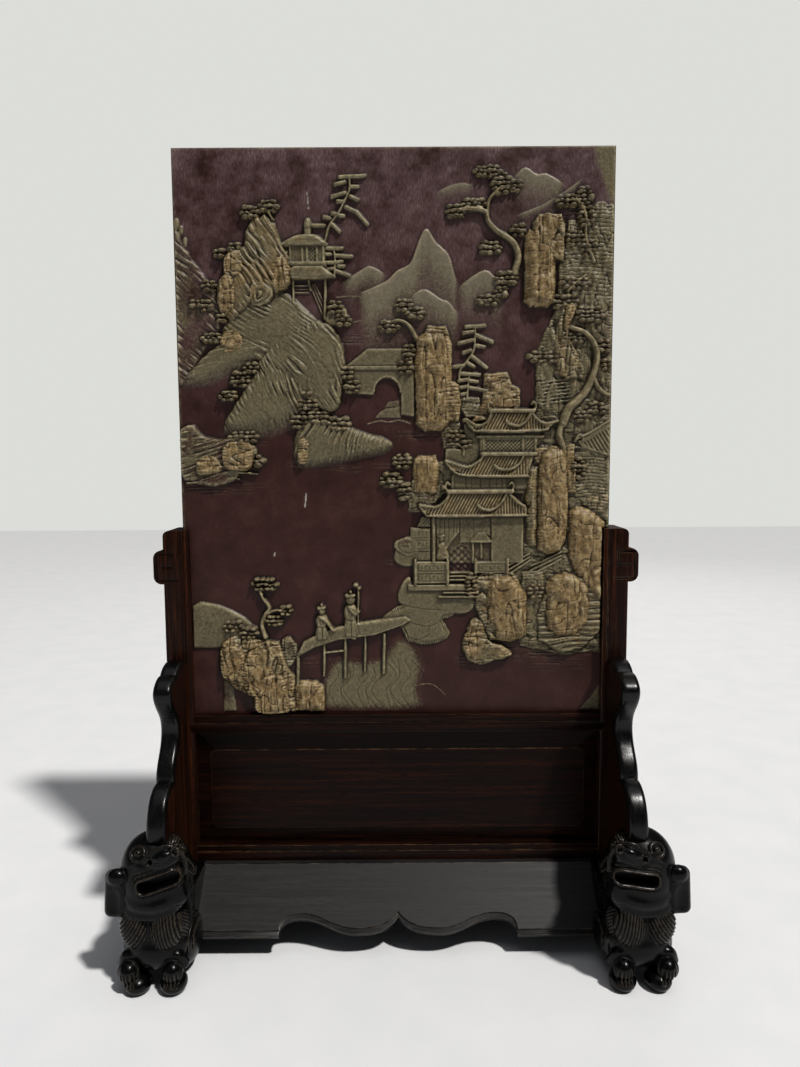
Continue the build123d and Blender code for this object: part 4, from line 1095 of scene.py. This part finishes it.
def carve_bar_trees(carving):
    """The thin trees whose leaves are plain bars."""
    trees = [
        ([(-61, 612), (-56, 630), (-48, 641), (-42, 652), (-38, 661), (-38, 671)],
         [(-46, 671, -25, 672), (-50, 665, -42, 667), (-53, 655, -42, 658), (-37, 663, -31, 663),
          (-37, 655, -31, 652), (-48, 651, -43, 651), (-41, 646, -32, 642), (-32, 642, -23, 632),
          (-53, 641, -48, 640), (-46, 639, -43, 639), (-60, 638, -55, 637), (-72, 631, -60, 631),
          (-53, 632, -47, 626)]),
        ([(-52, 588), (-51, 600), (-52, 612)],
         [(-60, 612, -45, 612), (-61, 607, -55, 607), (-50, 606, -37, 605), (-60, 600, -52, 600),
          (-50, 600, -45, 601), (-58, 594, -53, 595), (-50, 593, -39, 589), (-48, 597, -44, 597)]),
        ([(56, 498), (57, 508), (63, 516), (69, 526), (70, 546)],
         [(62, 545, 78, 546), (60, 540, 68, 541), (71, 538, 85, 532), (56, 531, 68, 534),
          (72, 529, 78, 528), (60, 523, 66, 525), (67, 520, 80, 510), (64, 514, 69, 511),
          (52, 511, 60, 512)]),
        ([(63, 482), (64, 494), (65, 506)],
         [(58, 505, 74, 504), (56, 499, 63, 500), (66, 499, 72, 498), (57, 493, 63, 494),
          (66, 493, 80, 490), (58, 487, 63, 488)]),
    ]
    for trunk, leaves in trees:
        carving.stroke(trunk, 1.1, 0.9, 3.0, 0.6)
        for x0, z0, x1, z1 in leaves:
            leaf = [(x0, z0), (x1, z1)]
            carving.stroke(leaf, 1.9, 1.7, 2.7, 0.5, smooth=False, flat=0.3)
            carving.stroke(leaf, 1.0, 0.8, 3.3, 0.62, smooth=False)


def carve_water(carving):
    """Level combed lines in the water round the rocks."""
    pick = np.random.default_rng(7)
    for low_x, high_x, low_z, high_z, count in (
            (-182, -120, 402, 412, 16), (-160, -90, 444, 462, 10), (-90, 0, 420, 428, 10),
            (10, 60, 446, 456, 8), (60, 180, 246, 262, 26), (120, 184, 240, 264, 14),
            (-44, -30, 530, 556, 9), (-110, -70, 236, 250, 6),
            (48, 74, 480, 500, 6), (0, 30, 330, 342, 5)):
        for _ in range(count):
            x, z = pick.uniform(low_x, high_x), pick.uniform(low_z, high_z)
            long = pick.uniform(8, 26)
            carving.groove([(x - long / 2, z), (x, z + 0.3), (x + long / 2, z)], 0.5, 0.55)


def blurred(values, passes):
    """Values averaged with their neighbours."""
    for _ in range(passes):
        padded = np.pad(values, 1, mode="edge")
        values = (padded[1:-1, :-2] + 2 * values + padded[1:-1, 2:]) / 4
        padded = np.pad(values, 1, mode="edge")
        values = (padded[:-2, 1:-1] + 2 * values + padded[2:, 1:-1]) / 4
    return values


def box_blurred(values, axis, reach):
    """Values averaged along one axis over so many grid points each way."""
    padding = [(reach + 1, reach) if a == axis else (0, 0) for a in range(values.ndim)]
    sums = np.cumsum(np.pad(values, padding, mode="edge"), axis, dtype=np.float64)
    count = values.shape[axis]
    upper = np.take(sums, range(2 * reach + 1, 2 * reach + 1 + count), axis)
    return (upper - np.take(sums, range(count), axis)) / (2 * reach + 1)


def carve_slab():
    """The whole carving, drawn from the far hills forward."""
    carving = Carving()
    carve_far_hills(carving)
    carve_water(carving)
    carve_left_shore(carving)
    carve_tower(carving)
    carve_gate(carving)
    carve_cliffs(carving)
    carve_hall(carving)
    carve_bridge(carving)
    carve_bar_trees(carving)
    carve_pines(carving)
    for line, width in (([(-73.3, 646), (-73.8, 655)], 0.55), ([(-74.6, 657), (-74.4, 659)], 0.5),
                        ([(-80.6, 389), (-79.4, 401)], 0.6), ([(-109, 345.6), (-108.4, 348)], 0.7)):
        carving.scratch(line, width)
    return carving


def slab_mesh(carving):
    """The slab as one closed piece: the carved face, its eased edges, the sides and the flat back."""
    x, z = carving.x, carving.z
    free = np.where(z > post_top_z + 0.5, slab_high.x - 0.5, groove_edge_x)
    keep = ease(free - np.abs(x), 0, 1.0) * ease(z, rail_top_z + 0.3, rail_top_z + 1.5)
    proud = np.clip(0.5 * (blurred(carving.proud, 1) + carving.proud), -1.2, relief_limit - 0.4) * keep
    edge = np.minimum.reduce([x - slab_low.x, slab_high.x - x, z - slab_low.z, slab_high.z - z])
    proud = proud - slab_bevel * (1 - shoulder(edge + 0.05, slab_bevel))
    # How far each point lies below its surroundings. The finish darkens the hollows with it, for dust and as
    # painted shade, and lightens the crests, for wear and as a painted highlight.
    wide = box_blurred(box_blurred(proud, 0, 5), 1, 5)
    fine = blurred(proud, 4)
    hollow = np.clip(0.3 * (wide - proud) + 1.7 * (fine - proud), -1, 1)

    rows, columns = x.shape
    front = np.stack([x, slab_face_y - proud, z], -1).reshape(-1, 3)
    index = np.arange(rows * columns).reshape(rows, columns)
    faces = np.stack([index[:-1, :-1], index[:-1, 1:], index[1:, 1:], index[1:, :-1]], -1).reshape(-1, 4)
    border = np.concatenate([index[0, :-1], index[:-1, -1], index[-1, :0:-1], index[:0:-1, 0]])
    inset = np.array([slab_bevel * 0.6, 0, slab_bevel * 0.6])
    centre = np.array([0, 0, (slab_low.z + slab_high.z) / 2])
    rim = front[border]
    outwards = np.sign(rim - centre) * (np.abs(rim - centre) > np.array(
        [slab_high.x - 0.01, 1e9, (slab_high.z - slab_low.z) / 2 - 0.01]))
    back_ring = rim.copy()
    back_ring[:, 1] = slab_back_y - slab_bevel * 0.6
    back_edge = rim - outwards * inset
    back_edge[:, 1] = slab_back_y
    count = len(border)
    first = len(front)
    rings = [border, first + np.arange(count), first + count + np.arange(count)]
    sides = []
    for near, far in zip(rings, rings[1:]):
        sides.append(np.stack([near, far, np.roll(far, -1), np.roll(near, -1)], -1))
    faces = np.vstack([faces] + sides)
    smooth = np.arange(len(faces)) < (rows - 1) * (columns - 1)
    points = np.vstack([front, back_ring, back_edge]) * MM
    shown = {"hollow": hollow, "layer": carving.layer, "fleck": carving.fleck}
    return points, faces, smooth, rings[-1], shown


def build_slab():
    """The carved slab, with the layer and hollow of each point for its finish."""
    points, faces, smooth, back, shown = slab_mesh(carve_slab())
    piece = mesh_piece("carved_slab", points, faces, [slate], smooth, "stone",
                       ["stone_slab"])
    work = bmesh.new()
    work.from_mesh(piece.data)
    work.verts.ensure_lookup_table()
    work.faces.new([work.verts[int(i)] for i in back])
    work.normal_update()
    work.to_mesh(piece.data)
    work.free()
    for name, values in shown.items():
        whole = np.zeros(len(points), np.float32)
        whole[:values.size] = values.ravel()
        give_values(piece, name, whole)


build_slab()


# The carved feet
# u is outward from the foot's centre line, v is back from its front end and w is above the table.

# The lions sit this far outside the spandrels' centre lines
lion_outset = 3.0
foot_low, foot_high = [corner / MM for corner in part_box("right_foot")]
spandrel_low, spandrel_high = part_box("front_right_spandrel")
foot_centre_x = (spandrel_low.x + spandrel_high.x) / 2 / MM + lion_outset
foot_front_y = foot_low.y
foot_top_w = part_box("bottom_rail")[0].z / MM
wood_spacing = 0.72


def turned(a, b, degrees):
    """Two coordinates in axes turned by an angle."""
    c, s = math.cos(math.radians(degrees)), math.sin(math.radians(degrees))
    return a * c + b * s, b * c - a * s


def ellipsoid(centre, radii, lean=0.0, twist=0.0):
    """A rounded mass. lean turns it in the plane of the face, twist turns it about the upright."""
    def distance(u, v, w):
        u, v = turned(u - centre[0], v - centre[1], twist)
        u, w = turned(u, w - centre[2], lean)
        near = np.sqrt((u / radii[0]) ** 2 + (v / radii[1]) ** 2 + (w / radii[2]) ** 2)
        slope = np.sqrt((u / radii[0] ** 2) ** 2 + (v / radii[1] ** 2) ** 2 + (w / radii[2] ** 2) ** 2)
        return near * (near - 1) / (slope + 1e-6)
    reach = max(radii)
    return distance, np.subtract(centre, reach), np.add(centre, reach)


def tube(points, start, end):
    """A rounded roll along a line, from one radius to another."""
    line = curved(points, closed=False, parts=4) if len(points) > 2 else np.asarray(points, float)
    widths = np.linspace(start, end, len(line))

    def distance(u, v, w):
        nearest = 1e9
        for p, q, r0, r1 in zip(line, line[1:], widths, widths[1:]):
            along = q - p
            t = ((u - p[0]) * along[0] + (v - p[1]) * along[1] + (w - p[2]) * along[2]) / (along @ along)
            t = np.clip(t, 0, 1)
            gap = np.sqrt((u - p[0] - t * along[0]) ** 2 + (v - p[1] - t * along[1]) ** 2
                          + (w - p[2] - t * along[2]) ** 2)
            nearest = np.minimum(nearest, gap - r0 - (r1 - r0) * t)
        return nearest
    reach = max(start, end)
    return distance, line.min(0) - reach, line.max(0) + reach


def ring(centre, facing, radius, thick):
    """A raised ring that faces one way."""
    axis = np.asarray(facing, float) / np.linalg.norm(facing)

    def distance(u, v, w):
        u, v, w = u - centre[0], v - centre[1], w - centre[2]
        along = u * axis[0] + v * axis[1] + w * axis[2]
        out = np.sqrt(np.maximum(u * u + v * v + w * w - along * along, 0)) - radius
        return np.sqrt(out * out + along * along) - thick
    reach = radius + thick
    return distance, np.subtract(centre, reach), np.add(centre, reach)


def rounded_box(centre, halves, rounding, lean=0.0):
    """A block with rounded edges."""
    def distance(u, v, w):
        v = v - centre[1]
        u, w = turned(u - centre[0], w - centre[2], lean)
        past = [np.abs(a) - h + rounding for a, h in zip((u, v, w), halves)]
        outside = np.sqrt(sum(np.maximum(a, 0) ** 2 for a in past))
        inside = np.minimum(np.maximum(np.maximum(past[0], past[1]), past[2]), 0)
        return outside + inside - rounding
    reach = np.array([max(halves[0], halves[2]), halves[1], max(halves[0], halves[2])])
    return distance, np.subtract(centre, reach), np.add(centre, reach)


class WoodBlock:
    """Half a foot as distances to its surface on a grid, which masses join and cuts leave."""

    def __init__(self):
        low = np.array([foot_low.x - foot_centre_x, 0, 0]) - 2 * wood_spacing
        high = np.array([foot_high.x - foot_centre_x, -foot_front_y, foot_high.z + 2 * wood_spacing])
        self.low = np.array([low[0], high[1] - wood_spacing * math.ceil((high[1] - low[1]) / wood_spacing),
                             low[2]])
        counts = np.round((high - self.low) / wood_spacing).astype(int) + 1
        self.lines = [self.low[a] + wood_spacing * np.arange(counts[a]) for a in range(3)]
        self.lines[0] = self.lines[0][:math.ceil((high[0] - self.low[0]) / wood_spacing) + 3]
        self.field = np.full([len(a) for a in self.lines], 50.0, np.float32)

    def within(self, low, high):
        """The part of the grid between two corners, with its coordinates."""
        cut = [slice(*np.searchsorted(self.lines[a], (low[a], high[a]))) for a in range(3)]
        shapes = ((-1, 1, 1), (1, -1, 1), (1, 1, -1))
        places = [self.lines[a][cut[a]].astype(np.float32).reshape(shapes[a]) for a in range(3)]
        return tuple(cut), places

    def join(self, shape, soft=2.5):
        """Adds a mass, with a soft hollow where it meets the rest."""
        distance, low, high = shape
        patch, places = self.within(low - soft - 3, high + soft + 3)
        there, new = self.field[patch], distance(*places)
        blend = np.maximum(soft - np.abs(there - new), 0) / soft
        self.field[patch] = np.minimum(there, new) - blend * blend * soft / 4

    def cut(self, shape, soft=0.8):
        """Takes a mass away, with its rim eased."""
        distance, low, high = shape
        patch, places = self.within(low - soft - 3, high + soft + 3)
        there, new = self.field[patch], -distance(*places)
        blend = np.maximum(soft - np.abs(there - new), 0) / soft
        self.field[patch] = np.maximum(there, new) + blend * blend * soft / 4

    def score(self, low, high, amount):
        """Sinks or raises the surface by an amount that depends on the place."""
        patch, places = self.within(low, high)
        self.field[patch] += amount(*places)


def combing(across, spacing):
    """Fine cuts side by side, from 0 on the ridges to 1 in the cuts."""
    return (0.5 - 0.5 * np.cos(2 * math.pi * across / spacing)) ** 2


def eye(block, u, v, w, facing):
    """A ring eye with a domed ball and a drilled pupil."""
    out = np.asarray(facing) / np.linalg.norm(facing)
    centre = np.array([u, v, w])
    block.cut(ellipsoid(centre + 1.5 * out, (5.2, 5.2, 5.2)), 1.0)
    block.join(ring(centre - 0.5 * out, facing, 5.4, 1.5), 0.5)
    block.join(ellipsoid(centre - 1.2 * out, (3.6, 3.6, 3.6)), 0.3)
    block.cut(ellipsoid(centre + 2.4 * out, (0.9, 0.9, 0.9)), 0.3)


def lion_head(block, tilt):
    """The head: smooth crown, ring eyes, scrolled nose, open mouth with its lips, ears and jaw."""
    block.join(ellipsoid((2, 29, 97), (28.5, 26, 31)), 1.0)
    block.join(ellipsoid((9, 19.5, 86), (16, 15, 19)), 5)
    block.join(rounded_box((-7.5, 15.5, 95), (17.5, 10.8, 24), 8, -tilt * 0.8), 4)
    c, s = math.cos(math.radians(tilt)), math.sin(math.radians(tilt))

    def mouth(u, w):
        """How far outside the mouth's opening a place on the face is."""
        p = -(u + 7) * c + (w - 97) * s
        q = (u + 7) * s + (w - 97) * c
        over_p, over_q = np.abs(p) - 12.5, np.abs(q) - 0.6
        return np.sqrt(np.maximum(over_p, 0) ** 2 + np.maximum(over_q, 0) ** 2) - 4.0, p, q

    # Lips, and the folds between the mouth and the nose
    def lips(u, v, w):
        gap, p, q = mouth(u, w)
        rim = np.exp(-((gap - 1.6) / 1.2) ** 2)
        fold = np.exp(-((gap - 3.6) / 0.7) ** 2)
        upper_fold = np.exp(-((gap - 6.4) / 0.8) ** 2) * (q > 0)
        return (-1.9 * rim + 1.0 * fold + 1.0 * upper_fold) * (v < 17) * (np.abs(p) < 19)
    block.score((-30, 0, 74), (22, 18, 118), lips)
    mouth_low, mouth_high = np.array([-28, -2, 84]), np.array([14, 14, 110])
    block.cut((lambda u, v, w: np.maximum(mouth(u, w)[0], v - 13.5), mouth_low, mouth_high), 0.6)

    # The nose, its nostril scrolls and the ridge that runs over it
    block.join(ellipsoid((-11, 8.5, 113.5), (14, 6.5, 7.5), -22), 2.5)
    block.join(ellipsoid((-11, 5.2, 118), (8.2, 5.2, 4.6), -25), 0.8)
    for u, w in ((-1.5, 114), (-21.5, 122.5)):
        block.join(ring((u, 4.2, w), (0.1, -1, 0.1), 3.0, 1.3), 0.5)
        block.cut(ellipsoid((u, 3.6, w), (1.9, 5.5, 1.9)), 0.4)
    for shift in (0.0, 3.0):
        ridge = [(22, 12.5, 99 + shift), (14, 9.0, 106 + shift), (6, 6.5, 111 + shift),
                 (-2, 5.4, 119 + shift * 0.7), (-11, 6.4, 124 + shift * 0.5),
                 (-20, 8.6, 124), (-25.5 - shift * 0.6, 11.5, 114), (-26.5 - shift * 0.5, 13.0, 100)]
        block.join(tube(ridge, 1.7, 1.3), 0.5)
    eye(block, 10, 9.6, 118.5, (0.19, -0.78, 0.6))
    eye(block, -20, 15.0, 117, (-0.62, -0.62, 0.48))

    # The rolled jaw
    block.join(tube([(26, 21, 80), (22, 13, 72), (13, 8.6, 67.5), (2, 7.4, 66.4), (-10, 8.2, 69),
                     (-20, 12.5, 74), (-25, 21, 80)], 3.6, 3.4), 3.0)
    block.join(tube([(19, 13, 79), (12, 9.0, 75.5), (0, 7.2, 75), (-12, 8.0, 78), (-20, 12, 83)], 4.5, 4.5),
               5)

    # The ears and the small lock between them
    block.join(rounded_box((29.5, 14, 83), (9.4, 6.0, 19.5), 5.8, 3), 0.8)
    block.join(ellipsoid((27.5, 10.5, 98), (8.0, 5.8, 7.4)), 1.0)
    block.cut(ellipsoid((30.5, 6.6, 78), (6.2, 3.6, 12.5), 3), 1.2)
    block.join(ellipsoid((-24, 29, 103), (4.0, 9.5, 15), -30, -8), 1.0)
    block.cut(ellipsoid((-27.5, 21, 100), (1.8, 5, 9), -30), 1.5)
    block.join(ellipsoid((-15, 25, 118), (6, 8, 7.5), 15), 1.2)
    block.score((-24, 12, 110), (-6, 34, 127),
                lambda u, v, w: 0.9 * combing(u + 0.2 * w, 2.4) * (w > 111))


def lion_body(block):
    """The chest with its two combed tufts, the smooth belly, the paws and the haunches."""
    block.join(ellipsoid((1, 31, 52), (27, 23, 27)), 3)
    block.join(ellipsoid((1, 28, 33), (26.5, 23, 21)), 4)
    block.join(ellipsoid((0, 47, 66), (23.5, 20, 44)), 4)
    tufts = [((15, 14, 54), (13, 11, 18), -8, (0.5, 0.1)),
             ((-10, 12.5, 54), (13.5, 11, 19), 5, (-0.14, -0.03))]
    for centre, radii, lean, (fan, slope) in tufts:
        distance, low, high = ellipsoid(centre, radii, lean)

        def combed_tuft(u, v, w, distance=distance, centre=centre, fan=fan, slope=slope):
            drop = centre[2] + 16 - w
            across = (u - centre[0]) * (1 - 0.006 * drop) - (fan + slope * (u - centre[0]) / 13) * drop
            return distance(u, v, w) + 1.3 * combing(across, 2.5)
        block.join((combed_tuft, low, high), 0.6)
    block.score((-31, 4, 40), (-14, 34, 62),
                lambda u, v, w: 0.7 * combing(w + np.abs(v - 19) * 0.9, 3.2) * (np.abs(v - 19) < 7))

    for side, u, haunch in ((1, 20.5, (21, 42, 28)), (-1, -15, (-18.5, 43, 28))):
        block.join(ellipsoid(haunch, (12, 24, 22)), 2.0)
        for turn in (0, 1):
            arc = [(haunch[0] + side * (11.2 - 0.4 * turn), 42 + (21 - 6 * turn) * math.cos(a),
                    28 + (19 - 6 * turn) * math.sin(a)) for a in np.linspace(0.5, 3.4, 9)]
            pulled = [(p - side * 6.5 * ((q - 42) ** 2 / 440 + (r - 28) ** 2 / 420), q, r) for p, q, r in arc]
            block.cut(tube(pulled, 0.8, 0.8), 0.8)
        block.join(ellipsoid((14.5 * side, 13.2, 7.2), (11, 12.6, 8.6)), 0.8)
        block.join(tube([(u + 7 * side, 17, 21), (u + 3 * side, 13.5, 30), (u - 6 * side, 13.5, 29),
                         (u - 9 * side, 16, 22)], 4.6, 3.6), 1.5)
        block.join(ellipsoid((u, 9.4, 18.5), (8.2, 8.8, 9.4)), 0.8)
        block.join(ring((u, 7.2, 19.5), (0, -1, 0.25), 7.6, 1.3), 0.5)
        block.score((u - 6.5, 0, 8), (u + 6.5, 9, 22),
                    lambda a, b, w, u=u: 1.5 * combing(a - u, 2.9) * ease(w, 22, 18))
    for low_u, low_v, low_w, lean in ((22, 34, 100, 1), (22, 44, 84, 1), (-24, 40, 92, -1),
                                      (-24, 48, 78, -1)):
        block.score((min(low_u, 0), low_v - 8, low_w - 24), (max(low_u, 0) + 8, low_v + 22, low_w + 12),
                    lambda u, v, w, lean=lean: 0.35 * combing(v + 0.7 * w, 3.4) * (u * lean > 8))


def foot_mesh(tilt):
    """The surface of the right-hand foot as points and four-cornered faces."""
    block = WoodBlock()
    middle = -foot_front_y
    block.join(rounded_box((0, middle, 40.2), (23, middle - 50, foot_top_w - 40.2), 1.2), 1.5)
    lion_body(block)
    lion_head(block, tilt)
    _, (u, v, w) = block.within(block.low - 1, block.low + 400)
    inside_box = np.maximum(np.maximum(np.abs(u - (foot_low.x + foot_high.x) / 2 + foot_centre_x)
                                       - (foot_high.x - foot_low.x) / 2 + 0.2, 0.3 - v),
                            np.maximum(0.02 - w, w - foot_high.z + 0.1))
    half = np.maximum(block.field, inside_box)
    whole = np.concatenate([half, half[:, -2::-1]], axis=1)
    reach = 3 * wood_spacing
    grid = openvdb.FloatGrid(reach)
    grid.copyFromArray(np.clip(whole, -reach, reach).astype(np.float32))
    points, faces = grid.convertToQuads(isovalue=0.0)
    near = np.clip(whole, -4, 4)
    for axis in range(3):
        near = box_blurred(near, axis, 1)
    at = np.clip(np.round(points).astype(int), 0, np.array(whole.shape) - 1)
    crest = near[at[:, 0], at[:, 1], at[:, 2]] - whole[at[:, 0], at[:, 1], at[:, 2]]
    points = points * wood_spacing + block.low
    points = points + np.array([foot_centre_x, foot_front_y, 0])
    return points * MM, faces, crest / 0.12


def outward(points, faces):
    """The faces, turned over if they look inwards."""
    a, b, c = points[faces[:, 0]], points[faces[:, 1]], points[faces[:, 2]]
    if np.einsum("ij,ij->i", np.cross(b - a, c - a), a).sum() < 0:
        return faces[:, ::-1]
    return faces


for side, mirrored, tilt in (("right", 1, 6), ("left", -1, 18)):
    points, faces, crest = foot_mesh(tilt)
    points = points * np.array([mirrored, 1, 1])
    piece = mesh_piece(side + "_carved_foot", points, outward(points, faces), [carved_black],
                       np.ones(len(faces), bool), "stand", [side + "_foot"])
    give_values(piece, "crest", crest)


# Camera, light and floor

CAMERA_AT = (0.0025, -0.7227, 0.4348)
camera_turn = 0.0016
camera_down = 0.0979
camera_roll = 0.0058
camera_lens = 27.03

camera_data = bpy.data.cameras.new("camera")
camera_data.lens = camera_lens
camera_data.sensor_width = 36.0
camera = bpy.data.objects.new("camera", camera_data)
bpy.context.scene.collection.objects.link(camera)
aim = (Matrix.Rotation(-camera_turn, 4, "Z") @ Matrix.Rotation(math.pi / 2 - camera_down, 4, "X")
       @ Matrix.Rotation(-camera_roll, 4, "Z"))
camera.matrix_world = Matrix.Translation(CAMERA_AT) @ aim
bpy.context.scene.camera = camera


def soft_light(name, at, towards, size, power, tint):
    """A square studio light that faces a point."""
    data = bpy.data.lights.new(name, "AREA")
    data.size = size
    data.energy = power
    data.color = colour(tint)[:3]
    light = bpy.data.objects.new(name, data)
    bpy.context.scene.collection.objects.link(light)
    light.location = at
    light.rotation_euler = (Vector(towards) - Vector(at)).to_track_quat("-Z", "Y").to_euler()
    return light


key_from = Vector((0.45, -0.47, 1.0)).normalized()
middle = Vector((0, 0, 0.42))
key = bpy.data.lights.new("key_light", "SUN")
key.energy = 3.1
key.angle = math.radians(4)
key.color = colour("#fffcf8")[:3]
key_light = bpy.data.objects.new("key_light", key)
bpy.context.scene.collection.objects.link(key_light)
key_light.rotation_euler = (-key_from).to_track_quat("-Z", "Y").to_euler()
soft_light("ceiling_light", (0.1, -0.35, 2.6), (0.1, -0.35, 0), 2.2, 13, "#fbfbff")
soft_light("fill_light", (-1.8, -1.9, 1.3), middle, 1.4, 1.2, "#f2f5ff")
soft_light("back_light", (0.6, 1.9, 1.6), middle, 1.6, 6, "#fff8f0")

# The room is seen pale, but lights the dark wood only a little
world = bpy.data.worlds.new("pale_room")
world.use_nodes = True
world_tree = world.node_tree
seen = world_tree.nodes["Background"]
seen.inputs["Color"].default_value = colour("#e0e1dd")
cast = add(world_tree, "ShaderNodeBackground", {"Color": colour("#e8ebf0"), "Strength": 0.1})
ray = add(world_tree, "ShaderNodeLightPath").outputs["Is Camera Ray"]
room = add(world_tree, "ShaderNodeMixShader", {"Fac": ray, 1: cast.outputs[0], 2: seen.outputs[0]})
world_tree.links.new(room.outputs[0], world_tree.nodes["World Output"].inputs["Surface"])
bpy.context.scene.world = world
bpy.context.scene.view_settings.view_transform = "Standard"
bpy.context.scene.view_settings.gamma = 0.88

floor_size = 8.0
floor_mesh = bpy.data.meshes.new("floor")
corner = floor_size / 2
floor_mesh.from_pydata([(-corner, -corner, 0), (corner, -corner, 0), (corner, corner, 0),
                        (-corner, corner, 0)], [], [(0, 1, 2, 3)])
floor_mesh.materials.append(pale_floor())
floor = bpy.data.objects.new("floor", floor_mesh)
bpy.context.scene.collection.objects.link(floor)
